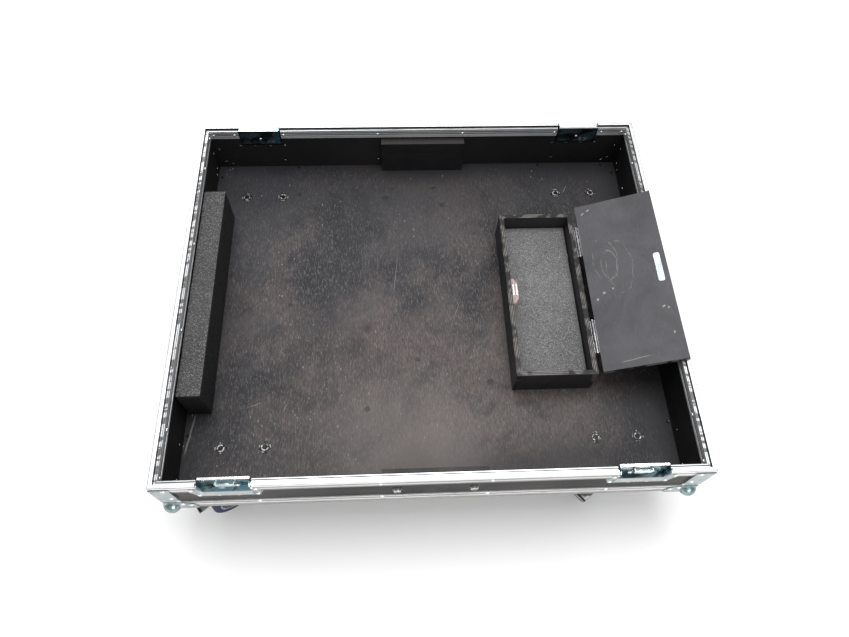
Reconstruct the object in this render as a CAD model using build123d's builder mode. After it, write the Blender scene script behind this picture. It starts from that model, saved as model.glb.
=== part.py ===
from build123d import *
import os
from math import asin, atan2, cos, degrees, hypot, radians, sin

# Wheeled base tray of a lift-off flight case, millimetres.
# Origin: on the ground, under the middle of the tray. X runs along the long side, Y to the rear, Z up.

# ---- Driving dimensions ----
CASE_WIDTH = 936  # X, over the aluminium edges
CASE_DEPTH = 780  # Y, over the aluminium edges
SHELL_HEIGHT = 129  # underside of the bottom edges to the top of the rim
CASTOR_HEIGHT = 128  # ground to the castor's mounting face
PLY = 9.5  # shell plywood
LEG = 2.0  # aluminium leg over the plywood
SKIN = LEG + PLY  # outer face of the case to the inner face of a wall
HALF_WIDTH = CASE_WIDTH / 2
HALF_DEPTH = CASE_DEPTH / 2
UNDERSIDE = CASTOR_HEIGHT - LEG
FLOOR_TOP = CASTOR_HEIGHT + PLY
RIM_TOP = UNDERSIDE + SHELL_HEIGHT

# Rim extrusion, measured inward from its outer face and down from its top
RIM_OUTER_LEG = 27
RIM_INNER_LEG = 25
RIM_WIDTH = 14
RIM_SHOULDER = 7.5
RIM_VALLEY = 5.5
RIM_RIDGE = 4
RIM_WEB = 8
RIM_BEAD_DROPS = (10.5, 20.5)
BEAD_SIZE = (0.5, 1.2)
WALL_TOP = RIM_TOP - RIM_WEB

# Bottom edges, corner posts, corner braces and ball corners
EDGE_WALL_LEG = 37
EDGE_FLOOR_LEG = 27
EDGE_GROOVE_HEIGHTS = (9, 26)
POST_LEG = 30
BRACE_LEG = 31.5
BRACE_SHEET = 1.4
BRACE_TOP_DROP = 9
BRACE_FOOT_DROP = 80
BALL_RADIUS = 16
BALL_INSET = 5
BALL_LEG_CORNER = (-BRACE_SHEET, -BRACE_SHEET)
BALL_LEG_EDGE = ((50, -BRACE_SHEET), (53, 8), (51, 21), (41, 31), (31, 36), (20, 39), (-BRACE_SHEET, 39))

# Recessed latch dishes and their fixed keepers
DISH_X = 347.5
DISH_GAP = 90
DISH_SHEET = 1.2
DISH_DEPTH = 14
DISH_MOUTH = (88, 47)
DISH_BACK = (84, 41)
DISH_FLANGE_RIGHT = ((51, -58.5), (59.5, -34), (55, -12), (46, -9))
DISH_FLANGE = (*[(-x, z) for x, z in DISH_FLANGE_RIGHT[::-1]], *DISH_FLANGE_RIGHT)
DISH_LIP = 2.5
JOGGLE_DROPS = (27.2, 28.6)
KEEPER_WIDTH = 32
KEEPER_SHEET = 1.2
KEEPER_FRONT = 5.4
KEEPER_LOOP_DROPS = (9, 18)
KEEPER_FOOT_DROP = 39.5
KEEPER_FOOT_WIDTH = 42
KEEPER_FOOT_RISE = 9.5
KEEPER_EAR = 2

# Rivets
SHANK = 4.0
HEAD = 8.0
HEAD_RISE = 1.6
RIVET_DOME = ((SHANK / 2, 0), (HEAD / 2, 0), (3.6, 0.6), (2.7, 1.15), (1.5, 1.5), (0, HEAD_RISE))
TAIL = 6.2
TAIL_RISE = 1.5
RIM_RIVET_DROP = 15
LONG_RIM_RIVETS = (93, 297, 401.5)
SHORT_RIM_RIVETS = (95, 285)
EDGE_RIVET_RISE = 30
LONG_EDGE_RIVETS = (93, 305)
SHORT_EDGE_RIVETS = (95, 285)
LONG_FLOOR_RIVET = 277
SHORT_FLOOR_RIVET = 262
FLOOR_RIVET_INSET = 17
BRACE_RIVET_INSET = 22
BRACE_RIVET_DROP = 62
BALL_RIVETS = ((30, 28), (43, 20))
DISH_RIVET_DROP = 51.5
DISH_RIVET_OFFSETS = (16.3, 48.3)
KEEPER_RIVETS = ((0, -26.5), (-16, -35), (16, -35))

# Castors: blue-tyred swivel castors on 105 x 85 plates with 80 x 60 holes
CASTOR_X = 347.5
CASTOR_Y = 318.5
PLATE_SIZE = (105, 85)
PLATE_THICKNESS = 3
HOLE_PITCH = (80, 60)
BOLT = 8.0
WHEEL_RADIUS = 50
WHEEL_WIDTH = 36
TYRE_INNER = 38
TRAIL = 38
AXLE = 12.0
KING_PIN = 12.0
RUNNING_GAP = 0.05  # radial, shaft in a turning hole
SIDE_GAP = 0.3  # between faces that turn past each other
RACE_RADIUS = 32
CROWN_TOP = 119.7
CROWN_PLATE_TOP = 113
CROWN_UNDER = 110
CROWN_RADIUS = 34
CHEEK = 3
CHEEK_INNER = 20.3
PEDAL_PIVOT = (66, 101)
PEDAL_PIN = 6.0
CHEEK_OUTLINE = ((-26, CROWN_PLATE_TOP), (36, CROWN_PLATE_TOP), (47, 103), (53, 50), (23, 50), (-26, 100))
BRAKE_ARM_OUTLINE = ((30, CROWN_PLATE_TOP), (66, 109), (74, 101), (69, 93.5), (49, 82), (30, 90))
PEDAL_NOSE = ((72, 98), (60, 103), (63, 107), (76, 106.5))
PEDAL_TREAD = ((101, 101), (106, 103), (107, 100.5), (101, 97.5))
PEDAL_CAM = (64.5, 95.3)
PEDAL_WIDTH = 34
AXLE_NUT = 10.4  # corner radius of the hexagon
CASTOR_TURN = {"front_left": 217, "front_right": 220, "rear_right": 221, "rear_left": 204}

# Tool box, its lid and the packing
BOX_PLY = 9
BOX_LEFT = 160
BOX_RIGHT = 312.5
BOX_FRONT = -189
BOX_REAR = 179.5
BOX_TOP = RIM_TOP - 49.5
BOX_FOAM_TOP = 173
HINGE_X = BOX_RIGHT + 4.5
HINGE_Z = BOX_TOP + 2
HINGE_LENGTH = 68
HINGE_SPANS = ((70.5, 138.5), (-146, -78))
BARREL_RADIUS = 3
LEAF = 1.2
LID_REACH = 153
LID_FRONT = -187
LID_REAR = 190.4
LID_GAP = 0.3  # closed lid over the box walls
FOAM_BLOCK = ((-HALF_WIDTH + SKIN + 2, -222.5, FLOOR_TOP), (-408, 236, RIM_TOP - 26.2))
BLOCK_WIDTH = 183
BLOCK_THICKNESS = 18
BLOCK_TOP = RIM_TOP - 30.5
REAR_BLOCK_X = 6
BLOCK_BOLT_OFFSET = 66
BLOCK_BOLT_DROP = 59

SIDES = ("front", "right", "rear", "left")
CORNERS = ("front_left", "front_right", "rear_right", "rear_left")

# ---- Frames ----


def shifted(frame, x=0, y=0, z=0, turn=(0, 0, 0)):
    """A plane moved and turned inside another plane's own directions."""
    return Plane(frame.location * Location((x, y, z), turn))


def wall_frame(side):
    """Frame of a wall at ground height: x along the wall, y into the case, z up."""
    origin, along = {
        "front": ((0, -HALF_DEPTH, 0), (1, 0, 0)),
        "right": ((HALF_WIDTH, 0, 0), (0, 1, 0)),
        "rear": ((0, HALF_DEPTH, 0), (-1, 0, 0)),
        "left": ((-HALF_WIDTH, 0, 0), (0, -1, 0)),
    }[side]
    return Plane(origin=origin, x_dir=along, z_dir=(0, 0, 1))


def corner_frame(corner):
    """Frame of a corner at ground height: x and y run inward along its two walls, z up."""
    origin, along = {
        "front_left": ((-HALF_WIDTH, -HALF_DEPTH, 0), (1, 0, 0)),
        "front_right": ((HALF_WIDTH, -HALF_DEPTH, 0), (0, 1, 0)),
        "rear_right": ((HALF_WIDTH, HALF_DEPTH, 0), (-1, 0, 0)),
        "rear_left": ((-HALF_WIDTH, HALF_DEPTH, 0), (0, -1, 0)),
    }[corner]
    return Plane(origin=origin, x_dir=along, z_dir=(0, 0, 1))


def section_plane(frame):
    """Plane across a wall: sketch x goes into the case, sketch y up, the normal along the wall."""
    return Plane(origin=frame.origin, x_dir=frame.y_dir, z_dir=frame.x_dir)


def outer_face(frame, depth=0.0, x=0.0, z=0.0):
    """Plane parallel to a wall's outer face, depth inside it, facing out: sketch y is up."""
    return shifted(frame, x=x, y=depth, z=z, turn=(90, 0, 0))


def half_length(side):
    return HALF_WIDTH if side in ("front", "rear") else HALF_DEPTH


def castor_frame(corner):
    """Frame of a castor on the ground: x points where the wheel trails, z up the swivel axis."""
    right = 1 if corner.endswith("right") else -1
    rear = 1 if corner.startswith("rear") else -1
    turn = radians(CASTOR_TURN[corner])
    centre = (right * CASTOR_X, rear * CASTOR_Y, 0)
    return Plane(origin=centre, x_dir=(cos(turn), sin(turn), 0), z_dir=(0, 0, 1))


# The open lid leans on the inner top edge of the right rim
rest_x = HALF_WIDTH - RIM_SHOULDER - HINGE_X
rest_z = RIM_TOP - HINGE_Z
LID_INNER = HINGE_Z - BOX_TOP - LID_GAP  # hinge axis to the lid's inner face
LID_OUTER = BOX_PLY - LID_INNER  # hinge axis to the lid's outer face
lean = degrees(atan2(rest_z, rest_x)) + degrees(asin((LID_OUTER + 0.2) / hypot(rest_x, rest_z)))
lid_frame = Plane(
    origin=(HINGE_X, 0, HINGE_Z),
    x_dir=(cos(radians(lean)), 0, sin(radians(lean))),
    z_dir=(-sin(radians(lean)), 0, cos(radians(lean))),
)
LID_EDGE = HINGE_X - BOX_RIGHT  # hinge axis to the lid's hinge-side edge
print(f"lid leans {lean:.2f} degrees, closing travel {180 - lean:.2f} degrees")


def hand_in(piece, label):
    piece.part.label = label
    export_step(piece.part, f"parts/{label}.step")


# ---- Rivet positions, as (along the wall, height) on each wall ----


def rim_spots(side):
    spacing = LONG_RIM_RIVETS if side in ("front", "rear") else SHORT_RIM_RIVETS
    return [(sign * x, RIM_TOP - RIM_RIVET_DROP) for x in spacing for sign in (-1, 1)]


def brace_spots(side):
    reach = half_length(side) - BRACE_RIVET_INSET
    drops = (RIM_RIVET_DROP, BRACE_RIVET_DROP)
    return [(sign * reach, RIM_TOP - drop) for drop in drops for sign in (-1, 1)]


def edge_spots(side):
    spacing = LONG_EDGE_RIVETS if side in ("front", "rear") else SHORT_EDGE_RIVETS
    return [(sign * x, UNDERSIDE + EDGE_RIVET_RISE) for x in spacing for sign in (-1, 1)]


def ball_spots(side):
    return [(sign * (half_length(side) - a), UNDERSIDE + b) for a, b in BALL_RIVETS for sign in (-1, 1)]


def dish_spots():
    offsets = [sign * x for x in DISH_RIVET_OFFSETS for sign in (-1, 1)]
    return [(sign * DISH_X + x, RIM_TOP - DISH_RIVET_DROP) for x in offsets for sign in (-1, 1)]


def wall_spots(side):
    dishes = dish_spots() if side in ("front", "rear") else []
    return rim_spots(side) + brace_spots(side) + edge_spots(side) + ball_spots(side) + dishes


def floor_edge_spots():
    long_y = HALF_DEPTH - FLOOR_RIVET_INSET
    short_x = HALF_WIDTH - FLOOR_RIVET_INSET
    long_ones = [(i * LONG_FLOOR_RIVET, j * long_y) for i in (-1, 1) for j in (-1, 1)]
    return long_ones + [(i * short_x, j * SHORT_FLOOR_RIVET) for i in (-1, 1) for j in (-1, 1)]


def floor_ball_spots():
    pairs = (BALL_RIVETS[1], BALL_RIVETS[1][::-1])
    return [(i * (HALF_WIDTH - a), j * (HALF_DEPTH - b)) for a, b in pairs for i in (-1, 1) for j in (-1, 1)]


def castor_holes(row):
    """Hole places of one row of every castor plate: row -1 is nearer the middle, 1 nearer the edge."""
    columns = [-HOLE_PITCH[0] / 2, HOLE_PITCH[0] / 2]
    reach = CASTOR_Y + row * HOLE_PITCH[1] / 2
    return [(i * CASTOR_X + x, j * reach) for i in (-1, 1) for j in (-1, 1) for x in columns]


def drill_wall(frame, spots, diameter=SHANK, start=-5.0, depth=25.0):
    """Holes straight into the case from just outside a wall's outer face."""
    with BuildSketch(outer_face(frame, start)) as holes:
        with Locations(*spots):
            Circle(diameter / 2)
    extrude(holes.sketch, amount=-depth, mode=Mode.SUBTRACT)


def drill_floor(spots, diameter, bottom=UNDERSIDE - 5, depth=25.0):
    """Holes straight up through the floor."""
    with BuildSketch(Plane.XY.offset(bottom)) as holes:
        with Locations(*spots):
            Circle(diameter / 2)
    extrude(holes.sketch, amount=depth, mode=Mode.SUBTRACT)


os.makedirs("parts", exist_ok=True)

# ---- Plywood shell ----
PILOT = 6.0
TNUT_BARREL = 9.8
WASHER = 16.0
WASHER_SHEET = 1.4
BLIND_SKIN = 3  # wood left behind the packing block's bolts

with BuildPart() as floor_panel:
    with BuildSketch(Plane.XY.offset(CASTOR_HEIGHT)):
        Rectangle(CASE_WIDTH - 2 * LEG, CASE_DEPTH - 2 * LEG)
    extrude(amount=PLY)
    drill_floor(castor_holes(-1), TNUT_BARREL)
    drill_floor(castor_holes(1), PILOT, depth=5 + LEG + PLY - 1)
    drill_floor(floor_edge_spots() + floor_ball_spots(), SHANK)
hand_in(floor_panel, "floor_panel")


def wall_panel(side):
    """A plywood wall on the floor panel; the short walls stand between the long ones."""
    frame = wall_frame(side)
    is_long = side in ("front", "rear")
    reach = half_length(side) - (LEG if is_long else SKIN)
    with BuildPart() as panel:
        with BuildSketch(outer_face(frame, LEG, z=FLOOR_TOP)):
            Rectangle(2 * reach, WALL_TOP - FLOOR_TOP, align=(Align.CENTER, Align.MIN))
        extrude(amount=-PLY)
        if is_long:
            for sign in (-1, 1):
                with BuildSketch(outer_face(frame, LEG, x=sign * DISH_X, z=RIM_TOP)):
                    Rectangle(DISH_MOUTH[0] + 1, DISH_MOUTH[1] + 1, align=(Align.CENTER, Align.MAX))
                extrude(amount=-PLY, mode=Mode.SUBTRACT)
            drill_wall(frame, block_bolt_spots(side), BOLT)
        drill_wall(frame, wall_spots(side))
    return panel


def block_centre(side):
    """Centre of the packing block along its own wall."""
    return 0 if side == "front" else -REAR_BLOCK_X


def block_bolt_spots(side):
    return [(block_centre(side) + i * BLOCK_BOLT_OFFSET, RIM_TOP - BLOCK_BOLT_DROP) for i in (-1, 1)]


for side in SIDES:
    hand_in(wall_panel(side), f"{side}_panel")

# ---- Aluminium rim, bottom edges and corner posts ----
RIM_OUTLINE = (
    (0, 0),
    (RIM_SHOULDER, 0),
    (RIM_SHOULDER + 0.6, -RIM_VALLEY),
    (RIM_WIDTH - 2.4, -RIM_VALLEY),
    (RIM_WIDTH - 2, -RIM_RIDGE),
    (RIM_WIDTH, -RIM_RIDGE),
    (RIM_WIDTH, -RIM_INNER_LEG),
    (SKIN, -RIM_INNER_LEG),
    (SKIN, -RIM_WEB),
    (LEG, -RIM_WEB),
    (LEG, -RIM_OUTER_LEG),
    (0, -RIM_OUTER_LEG),
)
EDGE_OUTLINE = (
    (0, 0),
    (EDGE_FLOOR_LEG, 0),
    (EDGE_FLOOR_LEG, LEG),
    (LEG, LEG),
    (LEG, EDGE_WALL_LEG),
    (0, EDGE_WALL_LEG),
)
SHOULDER_FILLET = 1.2
EDGE_FILLET = 1.8
GROOVE = 0.5


def mitre_ends(frame, reach):
    """Both ends cut at 45 degrees, so that neighbouring edges meet at the corner."""
    for sign in (-1, 1):
        corner = shifted(frame, x=sign * reach)
        split(bisect_by=Plane(origin=corner.origin, z_dir=-sign * frame.x_dir - frame.y_dir), keep=Keep.TOP)


def rim(side):
    frame = wall_frame(side)
    with BuildPart() as piece:
        with BuildSketch(shifted(section_plane(frame), y=RIM_TOP)) as profile:
            with BuildLine():
                Polyline(*RIM_OUTLINE, close=True)
            make_face()
            fillet(profile.vertices().group_by(Axis.Y)[-1], SHOULDER_FILLET)
            with Locations(*[(RIM_WIDTH + BEAD_SIZE[0] / 2, -drop) for drop in RIM_BEAD_DROPS]):
                Rectangle(*BEAD_SIZE)
        extrude(amount=half_length(side), both=True)
        mitre_ends(frame, half_length(side))
        if side in ("front", "rear"):
            for sign in (-1, 1):
                with Locations(shifted(frame, sign * DISH_X, 0, RIM_TOP)):
                    Box(DISH_GAP, 3 * RIM_WIDTH, 3 * RIM_OUTER_LEG, mode=Mode.SUBTRACT)
        drill_wall(frame, rim_spots(side) + brace_spots(side))
    return piece


def bottom_edge(side):
    frame = wall_frame(side)
    with BuildPart() as piece:
        with BuildSketch(shifted(section_plane(frame), y=UNDERSIDE)) as profile:
            with BuildLine():
                Polyline(*EDGE_OUTLINE, close=True)
            make_face()
            fillet(profile.vertices().sort_by_distance((0, 0))[0], EDGE_FILLET)
            with Locations(*[(0, height) for height in EDGE_GROOVE_HEIGHTS]):
                Rectangle(2 * GROOVE, 2 * GROOVE, rotation=45, mode=Mode.SUBTRACT)
        extrude(amount=half_length(side), both=True)
        mitre_ends(frame, half_length(side))
        drill_wall(frame, edge_spots(side) + ball_spots(side))
        drill_floor(floor_edge_spots() + floor_ball_spots(), SHANK)
    return piece


for side in SIDES:
    hand_in(rim(side), f"rim_{side}")
    hand_in(bottom_edge(side), f"bottom_edge_{side}")


def angle_outline(leg, inner, outer):
    """Closed L with its legs along both walls, between two distances from the outer faces."""
    return ((outer, outer), (leg, outer), (leg, inner), (inner, inner), (inner, leg), (outer, leg))


def corner_angle(frame, leg, inner, outer, foot, top):
    with BuildSketch(shifted(frame, z=foot)) as outline:
        with BuildLine():
            Polyline(*angle_outline(leg, inner, outer), close=True)
        make_face()
    extrude(outline.sketch, amount=top - foot)


def all_wall_holes():
    for side in SIDES:
        drill_wall(wall_frame(side), brace_spots(side) + ball_spots(side))


post_foot = UNDERSIDE + EDGE_WALL_LEG
with BuildPart() as corner_posts:
    for corner in CORNERS:
        corner_angle(corner_frame(corner), POST_LEG, LEG, 0, post_foot, RIM_TOP - RIM_OUTER_LEG)
    all_wall_holes()
hand_in(corner_posts, "corner_posts")

BRACE_FILLET = 1.2
BRACE_TIP = 6
brace_foot = RIM_TOP - BRACE_FOOT_DROP
with BuildPart() as corner_braces:
    for corner in CORNERS:
        corner_angle(corner_frame(corner), BRACE_LEG, 0, -BRACE_SHEET, brace_foot, RIM_TOP - BRACE_TOP_DROP)
    reach = hypot(HALF_WIDTH + BRACE_SHEET, HALF_DEPTH + BRACE_SHEET)
    outer_edges = corner_braces.edges().filter_by(Axis.Z)
    fillet([e for e in outer_edges if abs(hypot(e.center().X, e.center().Y) - reach) < 0.1], BRACE_FILLET)
    tips = [e for e in corner_braces.edges().filter_by(GeomType.LINE) if abs(e.length - BRACE_SHEET) < 0.01]
    chamfer([e for e in tips if e.center().Z < brace_foot + 1], BRACE_TIP)
    all_wall_holes()
hand_in(corner_braces, "corner_braces")

with BuildPart() as ball_corners:
    for corner in CORNERS:
        frame = shifted(corner_frame(corner), z=UNDERSIDE)
        faces = ((outer_face(frame), 1), (section_plane(frame), -1), (frame, -1))
        for face, outward in faces:
            with BuildSketch(face):
                with BuildLine():
                    Polyline(BALL_LEG_CORNER, *BALL_LEG_EDGE, close=True)
                make_face()
            extrude(amount=outward * BRACE_SHEET)
        with Locations(shifted(frame, BALL_INSET, BALL_INSET, BALL_INSET)):
            Sphere(BALL_RADIUS)
        with Locations(frame):
            Box(*[3 * BALL_RADIUS] * 3, align=(Align.MIN, Align.MIN, Align.MIN), mode=Mode.SUBTRACT)
    for side in SIDES:
        drill_wall(wall_frame(side), ball_spots(side))
    drill_floor(floor_ball_spots(), SHANK)
hand_in(ball_corners, "ball_corners")

# ---- Latch dishes and keepers ----


def flange_band(face, top, foot, thickness):
    """The part of the dish flange between two drops below the rim's top."""
    with BuildSketch(face) as band:
        with BuildLine():
            Polyline(*DISH_FLANGE, close=True)
        make_face()
        with Locations((0, -top)):
            Rectangle(2 * DISH_GAP, foot - top, align=(Align.CENTER, Align.MAX), mode=Mode.INTERSECT)
    extrude(band.sketch, amount=thickness)


def tub(face, mouth, back, above, front_depth, back_depth, mode):
    """Solid of the tapering recess, open upward, between two depths behind the outer face."""
    with BuildSketch(face.offset(-front_depth)) as front_end:
        with Locations((0, above)):
            Rectangle(mouth[0], mouth[1] + above, align=(Align.CENTER, Align.MAX))
    with BuildSketch(face.offset(-back_depth)) as back_end:
        with Locations((0, above)):
            Rectangle(back[0], back[1] + above, align=(Align.CENTER, Align.MAX))
    loft([front_end.sketch, back_end.sketch], mode=mode)


def latch_dish(frame, centre):
    face = outer_face(frame, x=centre, z=RIM_TOP)
    inner_mouth = (DISH_MOUTH[0] - 2 * DISH_SHEET, DISH_MOUTH[1] - DISH_SHEET)
    inner_back = (DISH_BACK[0] - 2 * DISH_SHEET, DISH_BACK[1] - DISH_SHEET)
    with BuildPart() as piece:
        flange_band(face, 0, JOGGLE_DROPS[0], DISH_SHEET)
        flange_band(face.offset(-LEG), JOGGLE_DROPS[0], JOGGLE_DROPS[1], DISH_SHEET + LEG)
        flange_band(face.offset(-LEG), JOGGLE_DROPS[1], -DISH_FLANGE_RIGHT[0][1], DISH_SHEET)
        tub(face, DISH_MOUTH, DISH_BACK, 0, -DISH_SHEET, DISH_DEPTH, Mode.ADD)
        tub(face, inner_mouth, inner_back, 2, -DISH_SHEET - 0.1, DISH_DEPTH - DISH_SHEET, Mode.SUBTRACT)
        with Locations(shifted(frame, centre, DISH_DEPTH, RIM_TOP)):
            Box(DISH_BACK[0], DISH_LIP, DISH_SHEET, align=(Align.CENTER, Align.MIN, Align.MAX))
        drill_wall(frame, rim_spots("front") + dish_spots(), depth=5 + LEG + 1)
        drill_wall(frame, keeper_spots(centre))
    return piece


def keeper_spots(centre):
    return [(centre + x, RIM_TOP + drop) for x, drop in KEEPER_RIVETS]


def latch_keeper(frame, centre):
    """A loop that the lid's latch hook drops into, on a foot riveted to the dish."""
    back = DISH_DEPTH - DISH_SHEET
    loop_top, loop_foot = KEEPER_LOOP_DROPS
    loop_depth = back - KEEPER_FRONT
    with BuildSketch(shifted(frame, centre, (back + KEEPER_FRONT) / 2, RIM_TOP - loop_foot)) as loop:
        Rectangle(KEEPER_WIDTH, loop_depth)
        fillet(loop.vertices(), 2)
        with Locations((0, KEEPER_SHEET)):
            Rectangle(KEEPER_WIDTH - 2 * KEEPER_SHEET, loop_depth, mode=Mode.SUBTRACT)
    extrude(loop.sketch, amount=loop_foot - loop_top)
    with BuildSketch(outer_face(frame, back, x=centre, z=RIM_TOP)) as foot:
        with Locations((0, -loop_top)):
            Rectangle(KEEPER_WIDTH, KEEPER_FOOT_DROP - loop_top, align=(Align.CENTER, Align.MAX))
        with Locations((0, -KEEPER_FOOT_DROP)):
            Rectangle(KEEPER_FOOT_WIDTH, KEEPER_FOOT_RISE, align=(Align.CENTER, Align.MIN))
        Rectangle(KEEPER_WIDTH - 2 * KEEPER_EAR, 2 * loop_foot, mode=Mode.SUBTRACT)
    extrude(foot.sketch, amount=KEEPER_SHEET)


for end, sign in (("front", 1), ("rear", -1)):
    for hand, centre in (("left", -sign * DISH_X), ("right", sign * DISH_X)):
        hand_in(latch_dish(wall_frame(end), centre), f"latch_dish_{end}_{hand}")

with BuildPart() as latch_keepers:
    for side in ("front", "rear"):
        for sign in (-1, 1):
            latch_keeper(wall_frame(side), sign * DISH_X)
        drill_wall(wall_frame(side), keeper_spots(-DISH_X) + keeper_spots(DISH_X))
hand_in(latch_keepers, "latch_keepers")

# ---- Rivets ----


def rivet(grip):
    """A domed blind rivet along Z: head above the seat at zero, tail below the grip."""
    end = -grip - TAIL_RISE
    shank = ((0, end), (TAIL / 2 - 0.6, end), (TAIL / 2, -grip), (SHANK / 2, -grip))
    with BuildPart() as one:
        with BuildSketch(Plane.XZ):
            with BuildLine():
                Polyline(*shank, *RIVET_DOME, close=True)
            make_face()
        revolve(axis=Axis.Z)
    return one.part


def wall_seats(side, spots, depth):
    return [outer_face(wall_frame(side), depth, x, z) for x, z in spots]


with BuildPart() as case_rivets:
    for side in SIDES:
        is_long = side in ("front", "rear")
        ears = [spot for spot in rim_spots(side) if is_long and abs(spot[0]) > LONG_RIM_RIVETS[0]]
        plain = [spot for spot in rim_spots(side) if spot not in ears]
        high = [spot for spot in brace_spots(side) if spot[1] > RIM_TOP - RIM_OUTER_LEG]
        low = [spot for spot in brace_spots(side) if spot not in high]
        rows = [
            (plain, 0, RIM_WIDTH),
            (high, -BRACE_SHEET, RIM_WIDTH),
            (low, -BRACE_SHEET, SKIN),
            (edge_spots(side), 0, SKIN),
            (ball_spots(side), -BRACE_SHEET, SKIN),
        ]
        if is_long:
            keepers = keeper_spots(-DISH_X) + keeper_spots(DISH_X)
            rows.append((ears, -DISH_SHEET, RIM_WIDTH))
            rows.append((dish_spots(), LEG - DISH_SHEET, SKIN))
            rows.append((keepers, DISH_DEPTH - DISH_SHEET - KEEPER_SHEET, DISH_DEPTH))
        for spots, seat, far in rows:
            with Locations(*wall_seats(side, spots, seat)):
                add(rivet(far - seat))
    for spots, seat in ((floor_edge_spots(), UNDERSIDE), (floor_ball_spots(), UNDERSIDE - BRACE_SHEET)):
        with Locations(*[Location((x, y, seat), (180, 0, 0)) for x, y in spots]):
            add(rivet(FLOOR_TOP - seat))
hand_in(case_rivets, "case_rivets")

# ---- Castor plates and their fasteners ----
PLATE_UNDER = CASTOR_HEIGHT - PLATE_THICKNESS
RACE_TAPER = 20  # degrees
KING_PIN_HEAD = (10, 4)  # radius and height
KING_PIN_HEAD_TAPER = 15
TNUT_FLANGE = 22
TNUT_SHEET = 1.4
TNUT_DEPTH = 8
BOLT_HEAD = 14
BOLT_HEAD_RISE = 4.2
SOCKET = 6
SCREW_HEAD = 12
SCREW_HEAD_RISE = 3.4

with BuildPart() as castor_plates:
    for corner in CORNERS:
        centre = castor_frame(corner).origin
        with BuildSketch(Plane(origin=(centre.X, centre.Y, PLATE_UNDER))):
            RectangleRounded(*PLATE_SIZE, 8)
            with GridLocations(*HOLE_PITCH, 2, 2):
                Circle(BOLT / 2, mode=Mode.SUBTRACT)
        extrude(amount=PLATE_THICKNESS)
        with BuildSketch(Plane(origin=(centre.X, centre.Y, PLATE_UNDER))):
            Circle(RACE_RADIUS)
        extrude(amount=CROWN_TOP + SIDE_GAP - PLATE_UNDER, taper=RACE_TAPER)
        with BuildSketch(Plane(origin=(centre.X, centre.Y, PLATE_UNDER))):
            Circle(KING_PIN / 2)
        extrude(amount=CROWN_UNDER - SIDE_GAP - PLATE_UNDER - KING_PIN_HEAD[1])
        with BuildSketch(Plane(origin=(centre.X, centre.Y, CROWN_UNDER - SIDE_GAP))):
            Circle(KING_PIN_HEAD[0])
        extrude(amount=-KING_PIN_HEAD[1], taper=KING_PIN_HEAD_TAPER)
hand_in(castor_plates, "castor_plates")

with BuildPart() as t_nuts:
    with BuildSketch(Plane.XY.offset(FLOOR_TOP)):
        with Locations(*castor_holes(-1)):
            Circle(TNUT_FLANGE / 2)
            with PolarLocations(TNUT_FLANGE / 2, 4, start_angle=45):
                Circle(3.6, mode=Mode.SUBTRACT)
    extrude(amount=TNUT_SHEET)
    with BuildSketch(Plane.XY.offset(FLOOR_TOP)):
        with Locations(*castor_holes(-1)):
            Circle(TNUT_BARREL / 2)
    extrude(amount=-TNUT_DEPTH)
    drill_floor(castor_holes(-1), BOLT)
hand_in(t_nuts, "t_nuts")


def dome_bolt(length, diameter, head, rise, socket):
    """A bolt along Z with its domed head above zero and its shank below."""
    with BuildPart() as one:
        Cylinder(head / 2, rise, align=(Align.CENTER, Align.CENTER, Align.MIN))
        fillet(one.edges().filter_by(GeomType.CIRCLE).group_by(Axis.Z)[-1], rise * 0.7)
        Cylinder(diameter / 2, length, align=(Align.CENTER, Align.CENTER, Align.MAX))
        with BuildSketch(Plane.XY.offset(rise)):
            RegularPolygon(socket / 2, 6)
        extrude(amount=-rise * 0.55, mode=Mode.SUBTRACT)
    return one.part


with BuildPart() as m8_bolts:
    with Locations(*[Location((x, y, PLATE_UNDER), (180, 0, 0)) for x, y in castor_holes(-1)]):
        add(dome_bolt(FLOOR_TOP + TNUT_SHEET - 0.4 - PLATE_UNDER, BOLT, BOLT_HEAD, BOLT_HEAD_RISE, SOCKET))
    for side in ("front", "rear"):
        with Locations(*wall_seats(side, block_bolt_spots(side), LEG)):
            Cylinder(WASHER / 2, WASHER_SHEET, align=(Align.CENTER, Align.CENTER, Align.MIN))
        with Locations(*wall_seats(side, block_bolt_spots(side), LEG - WASHER_SHEET)):
            length = WASHER_SHEET + PLY + BLOCK_THICKNESS - BLIND_SKIN
            add(dome_bolt(length, BOLT, BOLT_HEAD, BOLT_HEAD_RISE, SOCKET))
hand_in(m8_bolts, "m8_bolts")

# ---- Castors ----


def fork_cheek(frame, y, braked):
    """One side plate of the fork, from the crown down round the axle."""
    with BuildSketch(shifted(frame, y=y, turn=(90, 0, 0))) as cheek:
        with BuildLine():
            Polyline(*CHEEK_OUTLINE, close=True)
        make_face()
        with Locations((TRAIL, WHEEL_RADIUS)):
            Circle(15)
        if braked:
            with BuildLine():
                Polyline(*BRAKE_ARM_OUTLINE, close=True)
            make_face()
            with Locations(PEDAL_PIVOT):
                Circle(8)
                Circle(PEDAL_PIN / 2, mode=Mode.SUBTRACT)
        with Locations((TRAIL, WHEEL_RADIUS)):
            Circle(AXLE / 2, mode=Mode.SUBTRACT)
    extrude(cheek.sketch, amount=CHEEK)


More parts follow.
